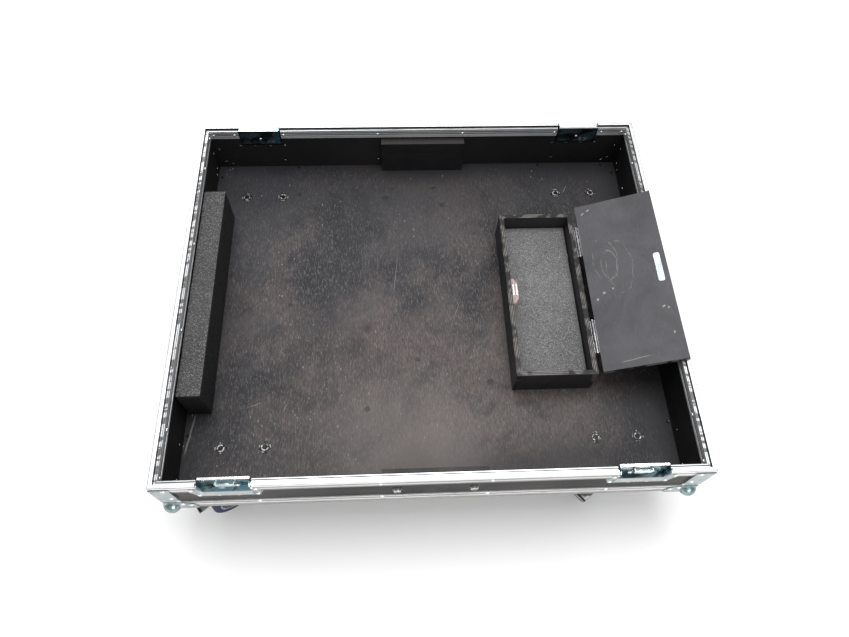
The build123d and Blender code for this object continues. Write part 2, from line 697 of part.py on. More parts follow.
def castor_fork(frame, braked):
    cheek_outer = CHEEK_INNER + CHEEK
    with BuildPart() as piece:
        with BuildSketch(shifted(frame, z=CROWN_PLATE_TOP)):
            Circle(CROWN_RADIUS)
        extrude(amount=CROWN_TOP - CROWN_PLATE_TOP)
        fillet(piece.edges().filter_by(GeomType.CIRCLE).group_by(Axis.Z)[-1], 3)
        with BuildSketch(shifted(frame, z=CROWN_UNDER)):
            with Locations((5, 0)):
                RectangleRounded(62, 2 * cheek_outer, 4)
        extrude(amount=CROWN_PLATE_TOP - CROWN_UNDER)
        fork_cheek(frame, cheek_outer, braked)
        fork_cheek(frame, -CHEEK_INNER, braked)
        with BuildSketch(shifted(frame, z=CROWN_UNDER - 1)):
            Circle(KING_PIN / 2 + RUNNING_GAP)
        extrude(amount=CROWN_TOP - CROWN_UNDER + 2, mode=Mode.SUBTRACT)
    return piece


def castor_axle(frame, braked):
    """The wheel's axle bolt with its head and nut, and on a braked castor the pedal's pin."""
    cheek_outer = CHEEK_INNER + CHEEK
    across = shifted(frame, x=TRAIL, z=WHEEL_RADIUS, turn=(90, 0, 0))
    with BuildPart() as piece:
        with BuildSketch(across):
            Circle(AXLE / 2)
        extrude(amount=cheek_outer, both=True)
        with BuildSketch(across.offset(cheek_outer)):
            RegularPolygon(AXLE_NUT, 6)
        extrude(amount=6)
        with BuildSketch(across.offset(-cheek_outer)):
            RegularPolygon(AXLE_NUT, 6)
        extrude(amount=-7)
        if braked:
            pin = shifted(frame, x=PEDAL_PIVOT[0], z=PEDAL_PIVOT[1], turn=(90, 0, 0))
            with BuildSketch(pin):
                Circle(PEDAL_PIN / 2)
            extrude(amount=cheek_outer, both=True)
            for way in (-1, 1):
                with BuildSketch(pin.offset(way * cheek_outer)):
                    Circle(4.5)
                extrude(amount=way * 2)
    return piece


def castor_tyre(frame):
    across = shifted(frame, x=TRAIL, z=WHEEL_RADIUS, turn=(90, 0, 0))
    with BuildPart() as piece:
        with BuildSketch(across):
            Circle(WHEEL_RADIUS)
        extrude(amount=WHEEL_WIDTH / 2, both=True)
        fillet(piece.edges().filter_by(GeomType.CIRCLE), 6)
        with BuildSketch(across):
            Circle(TYRE_INNER)
        extrude(amount=WHEEL_WIDTH, both=True, mode=Mode.SUBTRACT)
    return piece


def castor_hub(frame):
    across = shifted(frame, x=TRAIL, z=WHEEL_RADIUS, turn=(90, 0, 0))
    half_rim = WHEEL_WIDTH / 2 - 1
    with BuildPart() as piece:
        with BuildSketch(across):
            Circle(TYRE_INNER)
        extrude(amount=half_rim, both=True)
        for way in (-1, 1):
            with BuildSketch(across.offset(way * half_rim)):
                Circle(TYRE_INNER - 4)
                Circle(14, mode=Mode.SUBTRACT)
            extrude(amount=-way * 10, taper=8, mode=Mode.SUBTRACT)
        with BuildSketch(across):
            Circle(13)
        extrude(amount=CHEEK_INNER - SIDE_GAP, both=True)
        with BuildSketch(across):
            with PolarLocations(24.5, 6):
                Circle(5)
            Circle(AXLE / 2 + RUNNING_GAP)
        extrude(amount=WHEEL_WIDTH, both=True, mode=Mode.SUBTRACT)
    return piece


def brake_pedal(frame):
    """A foot pedal on the fork's rear pin; its cam closes on the tyre when it is pressed."""
    with BuildPart() as piece:
        with BuildSketch(shifted(frame, turn=(90, 0, 0))):
            with BuildLine():
                Polyline(*PEDAL_NOSE, *PEDAL_TREAD, close=True)
            make_face()
            with Locations(PEDAL_PIVOT):
                Circle(6)
            with Locations(PEDAL_CAM):
                Circle(2)
            with Locations(PEDAL_PIVOT):
                Circle(PEDAL_PIN / 2 + RUNNING_GAP, mode=Mode.SUBTRACT)
        extrude(amount=PEDAL_WIDTH / 2, both=True)
        with BuildSketch(shifted(frame, z=PEDAL_CAM[1])):
            with Locations((80, 0), (88, 0)):
                Rectangle(3, 22)
        extrude(amount=20, mode=Mode.SUBTRACT)
    return piece


for corner in CORNERS:
    braked = corner.startswith("front")
    frame = castor_frame(corner)
    hand_in(castor_fork(frame, braked), f"castor_fork_{corner}")
    hand_in(castor_axle(frame, braked), f"castor_axle_{corner}")
    hand_in(castor_tyre(frame), f"castor_tyre_{corner}")
    hand_in(castor_hub(frame), f"castor_hub_{corner}")
    if braked:
        hand_in(brake_pedal(frame), f"brake_pedal_{corner}")

# ---- Tool box ----
LEAF_FOOT = BOX_TOP - 27
LEAF_SCREW_HEIGHT = BOX_TOP - 15
WOOD_SCREW = 3.0
CATCH_FACE = BOX_LEFT + BOX_PLY
CATCH_OUTLINE = ((0, -33.5), (5, -33.5), (12.5, -21.5), (12.5, 12), (5, 23.6), (0, 23.6))
CATCH_HEIGHTS = (BOX_TOP - 21, BOX_TOP - 3)
POLE_OFFSETS = (3.2, 9.6)
POLE_SPAN = (-15.5, 9.5)
POLE_SHEET = 2.2
POLE_TOP = BOX_TOP - 1.6
CATCH_SCREWS = (-28, 18.5)


def upright_box(x, y, z):
    """A rectangular solid between two corners, given as three (low, high) pairs."""
    with Locations(((x[0] + x[1]) / 2, (y[0] + y[1]) / 2, (z[0] + z[1]) / 2)):
        Box(x[1] - x[0], y[1] - y[0], z[1] - z[0])


def leaf_screw_ys():
    return [low + HINGE_LENGTH * share for low, _ in HINGE_SPANS for share in (0.15, 0.5, 0.85)]


def side_plane(x):
    """Plane facing +X at a given x: sketch x is y, sketch y is z."""
    return Plane(origin=(x, 0, 0), x_dir=(0, 1, 0), z_dir=(1, 0, 0))


box_heights = (FLOOR_TOP, BOX_TOP)
with BuildPart() as box_left_wall:
    upright_box((BOX_LEFT, BOX_LEFT + BOX_PLY), (BOX_FRONT, BOX_REAR), box_heights)
    with BuildSketch(side_plane(CATCH_FACE)):
        with Locations(*[(y, sum(CATCH_HEIGHTS) / 2) for y in CATCH_SCREWS]):
            Circle(WOOD_SCREW / 2)
    extrude(amount=-8, mode=Mode.SUBTRACT)
hand_in(box_left_wall, "box_left_wall")

with BuildPart() as box_right_wall:
    upright_box((BOX_RIGHT - BOX_PLY, BOX_RIGHT), (BOX_FRONT, BOX_REAR), box_heights)
    with BuildSketch(side_plane(BOX_RIGHT)):
        with Locations(*[(y, LEAF_SCREW_HEIGHT) for y in leaf_screw_ys()]):
            Circle(WOOD_SCREW / 2)
    extrude(amount=-8, mode=Mode.SUBTRACT)
hand_in(box_right_wall, "box_right_wall")

inside_x = (BOX_LEFT + BOX_PLY, BOX_RIGHT - BOX_PLY)
with BuildPart() as box_front_wall:
    upright_box(inside_x, (BOX_FRONT, BOX_FRONT + BOX_PLY), box_heights)
hand_in(box_front_wall, "box_front_wall")

with BuildPart() as box_rear_wall:
    upright_box(inside_x, (BOX_REAR - BOX_PLY, BOX_REAR), box_heights)
hand_in(box_rear_wall, "box_rear_wall")

with BuildPart() as box_foam:
    upright_box(inside_x, (BOX_FRONT + BOX_PLY, BOX_REAR - BOX_PLY), (FLOOR_TOP, BOX_FOAM_TOP))
hand_in(box_foam, "box_foam")


def pole_ranges():
    return [(CATCH_FACE + x - POLE_SHEET / 2, CATCH_FACE + x + POLE_SHEET / 2) for x in POLE_OFFSETS]


with BuildPart() as catch_body:
    with BuildSketch(Plane(origin=(CATCH_FACE, 0, CATCH_HEIGHTS[0]))) as outline:
        with BuildLine():
            Polyline(*CATCH_OUTLINE, close=True)
        make_face()
        fillet([v for v in outline.vertices() if v.X > 1], 2.5)
    extrude(amount=CATCH_HEIGHTS[1] - CATCH_HEIGHTS[0])
    for x in pole_ranges():
        with Locations(((x[0] + x[1]) / 2, sum(POLE_SPAN) / 2, CATCH_HEIGHTS[0] + 4)):
            Box(
                POLE_SHEET,
                POLE_SPAN[1] - POLE_SPAN[0],
                30,
                align=(Align.CENTER, Align.CENTER, Align.MIN),
                mode=Mode.SUBTRACT,
            )
    with BuildSketch(side_plane(CATCH_FACE - 1)):
        with Locations(*[(y, sum(CATCH_HEIGHTS) / 2) for y in CATCH_SCREWS]):
            Circle(WOOD_SCREW / 2)
    extrude(amount=20, mode=Mode.SUBTRACT)
hand_in(catch_body, "catch_body")

with BuildPart() as catch_poles:
    for x in pole_ranges():
        upright_box(x, POLE_SPAN, (CATCH_HEIGHTS[0] + 4, POLE_TOP))
hand_in(catch_poles, "catch_poles")


# ---- Hinges: two-knuckle box leaves, one-knuckle lid leaves, pins ----
KNUCKLE_GAP = 0.4
PIN = 3.0
PIN_HEAD = 5.0
WEB_HEIGHTS = (HINGE_Z - 3.2, HINGE_Z - 1.9)
LID_SCREW_DROP = -4.4  # lid edge screws, from the hinge axis towards the outer face


def knuckle_spans(low):
    third = HINGE_LENGTH / 3
    return (low, low + third), (low + third, low + 2 * third), (low + 2 * third, low + HINGE_LENGTH)


def knuckle(frame, span, bore):
    """A length of barrel on the hinge axis, with the web that joins it to its leaf."""
    end = shifted(frame, y=span[1], turn=(90, 0, 0))
    with BuildSketch(end) as barrel:
        Circle(BARREL_RADIUS)
    extrude(barrel.sketch, amount=span[1] - span[0])
    with BuildSketch(end) as hole:
        Circle(bore / 2)
    extrude(hole.sketch, amount=span[1] - span[0], mode=Mode.SUBTRACT)


axis_frame = Plane(origin=(HINGE_X, 0, HINGE_Z))
web_inner = BARREL_RADIUS - 1

with BuildPart() as box_hinge_leaves:
    for low, high in HINGE_SPANS:
        upright_box((BOX_RIGHT, BOX_RIGHT + LEAF), (low, high), (LEAF_FOOT, BOX_TOP - 0.3))
        for span in (knuckle_spans(low)[0], knuckle_spans(low)[2]):
            upright_box((BOX_RIGHT, HINGE_X), span, WEB_HEIGHTS)
            knuckle(axis_frame, span, PIN)
    with BuildSketch(side_plane(BOX_RIGHT - 1)):
        with Locations(*[(y, LEAF_SCREW_HEIGHT) for y in leaf_screw_ys()]):
            Circle(WOOD_SCREW / 2)
    extrude(amount=5, mode=Mode.SUBTRACT)
hand_in(box_hinge_leaves, "box_hinge_leaves")

with BuildPart() as hinge_pins:
    for low, high in HINGE_SPANS:
        with BuildSketch(shifted(axis_frame, y=high, turn=(90, 0, 0))):
            Circle(PIN / 2)
        extrude(amount=high - low)
        for end, way in ((high, -1), (low, 1)):
            with BuildSketch(shifted(axis_frame, y=end, turn=(90, 0, 0))):
                Circle(PIN_HEAD / 2)
            extrude(amount=way * 1.2)
hand_in(hinge_pins, "hinge_pins")

LID_LEAF_INNER = LID_INNER - 0.2
LID_LEAF_OUTER = -LID_OUTER + 0.4


def lid_leaf_screw_ys():
    return [low + HINGE_LENGTH * share for low, _ in HINGE_SPANS for share in (0.42, 0.58)]


def edge_plane(x):
    """Plane across the lid at a distance from the hinge axis, facing the hinge: sketch x is -y."""
    return Plane(origin=shifted(lid_frame, x=x).origin, x_dir=(0, -1, 0), z_dir=-lid_frame.x_dir)


with BuildPart() as lid_hinge_leaves:
    for low, high in HINGE_SPANS:
        middle = (low + high) / 2
        third = HINGE_LENGTH / 3
        height = LID_LEAF_INNER - LID_LEAF_OUTER
        leaf_middle = (LID_LEAF_INNER + LID_LEAF_OUTER) / 2
        with Locations(shifted(lid_frame, LID_EDGE - LEAF / 2, middle, leaf_middle)):
            Box(LEAF, HINGE_LENGTH, height)
        span = (middle - third / 2 + KNUCKLE_GAP, middle + third / 2 - KNUCKLE_GAP)
        with Locations(shifted(lid_frame, (web_inner + LID_EDGE) / 2, middle, -1.1)):
            Box(LID_EDGE - web_inner, span[1] - span[0], 2)
        knuckle(lid_frame, span, PIN + 2 * RUNNING_GAP)
    with BuildSketch(edge_plane(0)):
        with Locations(*[(-y, LID_SCREW_DROP) for y in lid_leaf_screw_ys()]):
            Circle(WOOD_SCREW / 2)
    extrude(amount=-10, mode=Mode.SUBTRACT)
hand_in(lid_hinge_leaves, "lid_hinge_leaves")

# ---- Lid ----
STRIKE_SIZE = (12, 64)
STRIKE_SHEET = 1.4
STRIKE_REACH = HINGE_X - (CATCH_FACE + sum(POLE_OFFSETS) / 2)
STRIKE_Y = 9.3
STRIKE_HOLES = [(0, -28.5), (0, 28.5)]
lid_ends = (LID_FRONT, LID_REAR)

with BuildPart() as lid_panel:
    lid_middle = shifted(lid_frame, LID_EDGE + LID_REACH / 2, sum(lid_ends) / 2, LID_INNER - BOX_PLY / 2)
    with Locations(lid_middle):
        Box(LID_REACH, LID_REAR - LID_FRONT, BOX_PLY)
    with BuildSketch(edge_plane(LID_EDGE - 1)):
        with Locations(*[(-y, LID_SCREW_DROP) for y in lid_leaf_screw_ys()]):
            Circle(WOOD_SCREW / 2)
    extrude(amount=-15, mode=Mode.SUBTRACT)
    with BuildSketch(shifted(lid_frame, STRIKE_REACH, STRIKE_Y, LID_INNER)):
        with Locations(*STRIKE_HOLES):
            Circle(WOOD_SCREW / 2)
    extrude(amount=-7, mode=Mode.SUBTRACT)
hand_in(lid_panel, "lid_panel")

with BuildPart() as strike_plate:
    with BuildSketch(shifted(lid_frame, STRIKE_REACH, STRIKE_Y, LID_INNER)):
        RectangleRounded(*STRIKE_SIZE, 4)
        with Locations(*STRIKE_HOLES):
            Circle(WOOD_SCREW / 2, mode=Mode.SUBTRACT)
    extrude(amount=STRIKE_SHEET)
    fillet(strike_plate.faces().sort_by(Axis.Z)[-1].edges(), 0.5)
hand_in(strike_plate, "strike_plate")


def flat_screw(length, head):
    """A small wood screw along Z: low domed head above zero, shank below."""
    with BuildPart() as one:
        Cylinder(head / 2, 0.9, align=(Align.CENTER, Align.CENTER, Align.MIN))
        fillet(one.edges().filter_by(GeomType.CIRCLE).group_by(Axis.Z)[-1], 0.5)
        Cylinder(WOOD_SCREW / 2, length, align=(Align.CENTER, Align.CENTER, Align.MAX))
    return one.part


def flush_screw(length):
    """A headless screw shank along Z that ends flush at zero."""
    with BuildPart() as one:
        Cylinder(WOOD_SCREW / 2, length, align=(Align.CENTER, Align.CENTER, Align.MAX))
    return one.part


with BuildPart() as lid_screws:
    leaf_face = edge_plane(LID_EDGE - LEAF)
    with Locations(*[shifted(leaf_face, x=-y, y=LID_SCREW_DROP) for y in lid_leaf_screw_ys()]):
        add(flush_screw(12))
    strike_top = shifted(lid_frame, STRIKE_REACH, STRIKE_Y, LID_INNER + STRIKE_SHEET)
    with Locations(*[shifted(strike_top, x, y) for x, y in STRIKE_HOLES]):
        add(flat_screw(8, 6))
hand_in(lid_screws, "lid_screws")

with BuildPart() as wood_screws:
    with Locations(*[Location((x, y, PLATE_UNDER), (180, 0, 0)) for x, y in castor_holes(1)]):
        add(dome_bolt(PLATE_THICKNESS + PLY - 1, PILOT, SCREW_HEAD, SCREW_HEAD_RISE, 4))
    wall_face = side_plane(BOX_RIGHT + LEAF)
    with Locations(*[shifted(wall_face, x=y, y=LEAF_SCREW_HEIGHT) for y in leaf_screw_ys()]):
        add(flat_screw(9, 6.5))
    catch_front = side_plane(CATCH_FACE + 8)
    with Locations(*[shifted(catch_front, x=y, y=sum(CATCH_HEIGHTS) / 2) for y in CATCH_SCREWS]):
        add(flush_screw(15))
hand_in(wood_screws, "wood_screws")

# ---- Packing blocks ----
with BuildPart() as foam_block:
    low, high = FOAM_BLOCK
    upright_box((low[0], high[0]), (low[1], high[1]), (low[2], high[2]))
hand_in(foam_block, "foam_block")


def packing_block(side):
    frame = wall_frame(side)
    with BuildPart() as piece:
        with BuildSketch(outer_face(frame, SKIN, x=block_centre(side), z=FLOOR_TOP)):
            Rectangle(BLOCK_WIDTH, BLOCK_TOP - FLOOR_TOP, align=(Align.CENTER, Align.MIN))
        extrude(amount=-BLOCK_THICKNESS)
        drill_wall(frame, block_bolt_spots(side), BOLT, start=LEG, depth=PLY + BLOCK_THICKNESS - BLIND_SKIN)
        drill_wall(frame, edge_spots(side), TAIL + 0.2, start=LEG, depth=PLY + TAIL_RISE + 0.2)
    return piece


hand_in(packing_block("front"), "front_block")
hand_in(packing_block("rear"), "rear_block")
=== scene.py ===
import math

import bmesh
import bpy
from mathutils import Matrix, Vector, noise


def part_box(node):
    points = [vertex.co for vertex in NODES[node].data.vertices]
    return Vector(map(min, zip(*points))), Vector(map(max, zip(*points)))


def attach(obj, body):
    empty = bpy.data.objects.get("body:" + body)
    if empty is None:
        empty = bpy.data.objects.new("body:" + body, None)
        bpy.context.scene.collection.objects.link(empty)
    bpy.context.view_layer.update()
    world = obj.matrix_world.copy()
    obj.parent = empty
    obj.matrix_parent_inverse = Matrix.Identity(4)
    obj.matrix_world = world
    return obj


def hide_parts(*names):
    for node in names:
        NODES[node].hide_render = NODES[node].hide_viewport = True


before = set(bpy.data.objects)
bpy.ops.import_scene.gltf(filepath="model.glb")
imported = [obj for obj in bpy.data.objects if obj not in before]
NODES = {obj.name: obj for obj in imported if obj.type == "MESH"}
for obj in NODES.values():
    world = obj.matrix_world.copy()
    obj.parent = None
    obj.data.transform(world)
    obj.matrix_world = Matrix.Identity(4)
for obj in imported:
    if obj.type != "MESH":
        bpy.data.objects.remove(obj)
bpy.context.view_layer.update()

BASE = "base"

# ---- Measures in metres -------------------------------------------------------------------------
HALF_WIDTH = 0.468  # middle of the case to the outside of its rims, along X
HALF_DEPTH = 0.390  # the same along Y
FLOOR_TOP = 0.1375
LID_LEAN = math.radians(21.16)
HINGE = Vector((0.317, 0.0, 0.2075))
GROUND_SIZE = 60.0
NUT_CENTRE = (0.3475, 0.2885)  # middle of each pair of T-nuts, in both directions from the origin
NUT_HALF_PITCH = 0.040
SMUDGE_CENTRE = (0.3475, 0.29)  # middle of the dark smudge around each pair of T-nuts

# ---- Camera: location, view direction, up direction and lens ------------------------------------
CAMERA_PLACE = Vector((-0.06329, -0.67317, 1.34580))
CAMERA_VIEW = Vector((0.043644, 0.470725, -0.881200))
CAMERA_UP = Vector((0.021797, 0.881382, 0.471902))
CAMERA_LENS = 28.51

# ---- Places of wear on the floor: (x, y, radius) ----------------------------------------------
FLOOR_DENTS = (
    (-0.289, 0.185, 0.006),
    (-0.273, 0.297, 0.007),
    (-0.080, 0.285, 0.008),
    (0.029, 0.311, 0.006),
    (0.047, 0.263, 0.009),
    (0.114, 0.182, 0.006),
    (0.025, 0.073, 0.008),
    (-0.278, 0.010, 0.006),
    (-0.120, -0.049, 0.010),
    (-0.285, -0.172, 0.007),
    (-0.120, -0.220, 0.007),
    (0.126, 0.013, 0.006),
    (0.120, -0.171, 0.008),
    (-0.020, -0.120, 0.005),
    (-0.180, 0.130, 0.006),
)
# (x, y, angle in degrees, length, width)
FLOOR_SCRATCHES = (
    (-0.446, -0.260, 82, 0.090, 0.0022),
    (-0.330, -0.205, 20, 0.026, 0.0010),
    (-0.275, -0.213, 65, 0.022, 0.0010),
    (0.060, -0.020, 70, 0.075, 0.0007),
    (-0.060, 0.080, 84, 0.110, 0.0007),
    (0.330, 0.300, 60, 0.024, 0.0012),
)
# Marks on the lid's inner face: (distance from the hinge, y, angle, length, width)
LID_SCRATCHES = (
    (0.032, -0.024, 12, 0.006, 0.0028),
    (0.050, -0.018, 80, 0.005, 0.0022),
    (0.018, -0.036, 50, 0.006, 0.0028),
    (0.134, -0.076, 20, 0.007, 0.0020),
    (0.142, -0.080, 60, 0.005, 0.0020),
    (0.142, -0.132, 70, 0.006, 0.0020),
    (0.018, 0.170, 30, 0.008, 0.0018),
    (0.030, 0.176, 20, 0.008, 0.0018),
    (0.066, -0.172, 5, 0.060, 0.0006),
)
# Loops rubbed into the lid: (distance from the hinge, y, (half width, half length), line width)
LID_LOOPS = (
    (0.045, 0.052, (0.024, 0.050), 0.0010),
    (0.052, 0.036, (0.016, 0.034), 0.0009),
    (0.070, 0.030, (0.026, 0.060), 0.0008),
)

# Colour sockets of the Mix node, whose float and vector sockets share their names
MIX_FACTOR, MIX_FIRST, MIX_SECOND, MIX_RESULT = 0, 6, 7, 2


# ---- Node helpers ---------------------------------------------------------------------------------
class Graph:
    """A small builder for one procedural material."""

    def __init__(self, name, roughness=0.5, metallic=0.0, specular=0.5):
        self.material = bpy.data.materials.new(name)
        self.material.use_nodes = True
        self.tree = self.material.node_tree
        self.tree.nodes.clear()
        self.shader = self.tree.nodes.new("ShaderNodeBsdfPrincipled")
        self.shader.inputs["Roughness"].default_value = roughness
        self.shader.inputs["Metallic"].default_value = metallic
        self.shader.inputs["Specular IOR Level"].default_value = specular
        output = self.tree.nodes.new("ShaderNodeOutputMaterial")
        self.link(self.shader.outputs["BSDF"], output.inputs["Surface"])
        self.coords = self.tree.nodes.new("ShaderNodeTexCoord").outputs["Object"]

    def link(self, source, target):
        self.tree.links.new(source, target)

    def feed(self, value, socket):
        """A number, a colour or another node's output into a socket."""
        if isinstance(value, bpy.types.NodeSocket):
            self.link(value, socket)
        elif isinstance(value, tuple):
            socket.default_value = (*value, 1.0)
        else:
            socket.default_value = value

    def placed(self, scale=(1, 1, 1), turn=(0, 0, 0), move=(0, 0, 0), source=None):
        node = self.tree.nodes.new("ShaderNodeMapping")
        node.vector_type = "POINT"
        node.inputs["Location"].default_value = move
        node.inputs["Rotation"].default_value = turn
        node.inputs["Scale"].default_value = scale
        self.link(source or self.coords, node.inputs["Vector"])
        return node.outputs["Vector"]

    def noise(self, vector, scale, detail=4.0, rough=0.55, distortion=0.0):
        node = self.tree.nodes.new("ShaderNodeTexNoise")
        node.inputs["Scale"].default_value = scale
        node.inputs["Detail"].default_value = detail
        node.inputs["Roughness"].default_value = rough
        node.inputs["Distortion"].default_value = distortion
        self.link(vector, node.inputs["Vector"])
        return node.outputs["Fac"]

    def cells(self, vector, scale):
        node = self.tree.nodes.new("ShaderNodeTexVoronoi")
        node.inputs["Scale"].default_value = scale
        self.link(vector, node.inputs["Vector"])
        return node.outputs["Distance"]

    def wave(self, vector, scale, distortion, axis="X"):
        node = self.tree.nodes.new("ShaderNodeTexWave")
        node.bands_direction = axis
        node.inputs["Scale"].default_value = scale
        node.inputs["Distortion"].default_value = distortion
        node.inputs["Detail"].default_value = 3.0
        self.link(vector, node.inputs["Vector"])
        return node.outputs["Fac"]

    def math(self, operation, first, second=0.0):
        node = self.tree.nodes.new("ShaderNodeMath")
        node.operation = operation
        self.feed(first, node.inputs[0])
        self.feed(second, node.inputs[1])
        return node.outputs[0]

    def ramp(self, factor, low, high, out_low=0.0, out_high=1.0):
        """A smooth step from out_low to out_high as factor goes from low to high."""
        node = self.tree.nodes.new("ShaderNodeMapRange")
        node.interpolation_type = "SMOOTHSTEP"
        node.inputs["From Min"].default_value = low
        node.inputs["From Max"].default_value = high
        node.inputs["To Min"].default_value = out_low
        node.inputs["To Max"].default_value = out_high
        self.link(factor, node.inputs["Value"])
        return node.outputs["Result"]

    def mix(self, factor, first, second):
        node = self.tree.nodes.new("ShaderNodeMix")
        node.data_type = "RGBA"
        self.feed(factor, node.inputs[MIX_FACTOR])
        self.feed(first, node.inputs[MIX_FIRST])
        self.feed(second, node.inputs[MIX_SECOND])
        return node.outputs[MIX_RESULT]

    def axis(self, vector, name):
        node = self.tree.nodes.new("ShaderNodeSeparateXYZ")
        self.link(vector, node.inputs["Vector"])
        return node.outputs[name]

    def facing(self, direction):
        """How far the surface faces a direction of its own object, from -1 to 1."""
        normal = self.tree.nodes.new("ShaderNodeTexCoord").outputs["Normal"]
        node = self.tree.nodes.new("ShaderNodeVectorMath")
        node.operation = "DOT_PRODUCT"
        self.link(normal, node.inputs[0])
        node.inputs[1].default_value = direction
        return node.outputs["Value"]

    def near(self, centre, radius, soft):
        """A soft disc: 1 inside radius of a point, falling to 0 over soft."""
        node = self.tree.nodes.new("ShaderNodeVectorMath")
        node.operation = "DISTANCE"
        self.link(self.coords, node.inputs[0])
        node.inputs[1].default_value = centre
        return self.ramp(node.outputs["Value"], radius, radius + soft, 1.0, 0.0)

    def stroke(self, centre, turn, length, width):
        """A thin straight mark on a surface: centre, turn about the three axes, length and width."""
        moved = self.placed(move=(-centre[0], -centre[1], -centre[2]))
        turned = self.placed(turn=turn, source=moved)
        wander = self.noise(moved, 60.0, 2.0)
        across = self.math("ADD", self.axis(turned, "Y"), self.math("MULTIPLY", wander, 0.004))
        along = self.math("ABSOLUTE", self.axis(turned, "X"))
        off_line = self.math("ABSOLUTE", self.math("SUBTRACT", across, 0.002))
        along_mask = self.ramp(along, length * 0.3, length * 0.5, 1.0, 0.0)
        across_mask = self.ramp(off_line, width * 0.3, width, 1.0, 0.0)
        return self.math("MULTIPLY", along_mask, across_mask)

    def loop(self, centre, lean, radii, width):
        """A thin broken ellipse on a surface that leans about Y; radii are along and across the lean."""
        moved = self.placed(move=(-centre[0], -centre[1], -centre[2]))
        turned = self.placed(turn=(0, lean, 0), source=moved)
        scaled = self.placed(scale=(1 / radii[0], 1 / radii[1], 0.0), source=turned)
        node = self.tree.nodes.new("ShaderNodeVectorMath")
        node.operation = "LENGTH"
        self.link(scaled, node.inputs[0])
        wander = self.math("MULTIPLY", self.noise(moved, 30.0, 3.0), 0.5)
        radius = self.math("ADD", node.outputs["Value"], wander)
        offset = self.math("ABSOLUTE", self.math("SUBTRACT", radius, 1.25))
        line = self.ramp(offset, 0.2 * width / radii[0], width / radii[0], 1.0, 0.0)
        return self.math("MULTIPLY", line, self.ramp(self.noise(moved, 45.0, 3.0), 0.42, 0.60))

    def total(self, masks):
        result = masks[0]
        for mask in masks[1:]:
            result = self.math("MAXIMUM", result, mask)
        return result

    def bump(self, height, strength, distance):
        node = self.tree.nodes.new("ShaderNodeBump")
        node.inputs["Strength"].default_value = strength
        node.inputs["Distance"].default_value = distance
        self.link(height, node.inputs["Height"])
        self.link(node.outputs["Normal"], self.shader.inputs["Normal"])

    def colour(self, value):
        self.feed(value, self.shader.inputs["Base Color"])

    def rough(self, value):
        self.feed(value, self.shader.inputs["Roughness"])


# ---- Wood -------------------------------------------------------------------------------------------
BOX_FACE = (0.019, 0.019, 0.021)
PLY_WAVE = 105.0  # gives one pale veneer every 3 mm


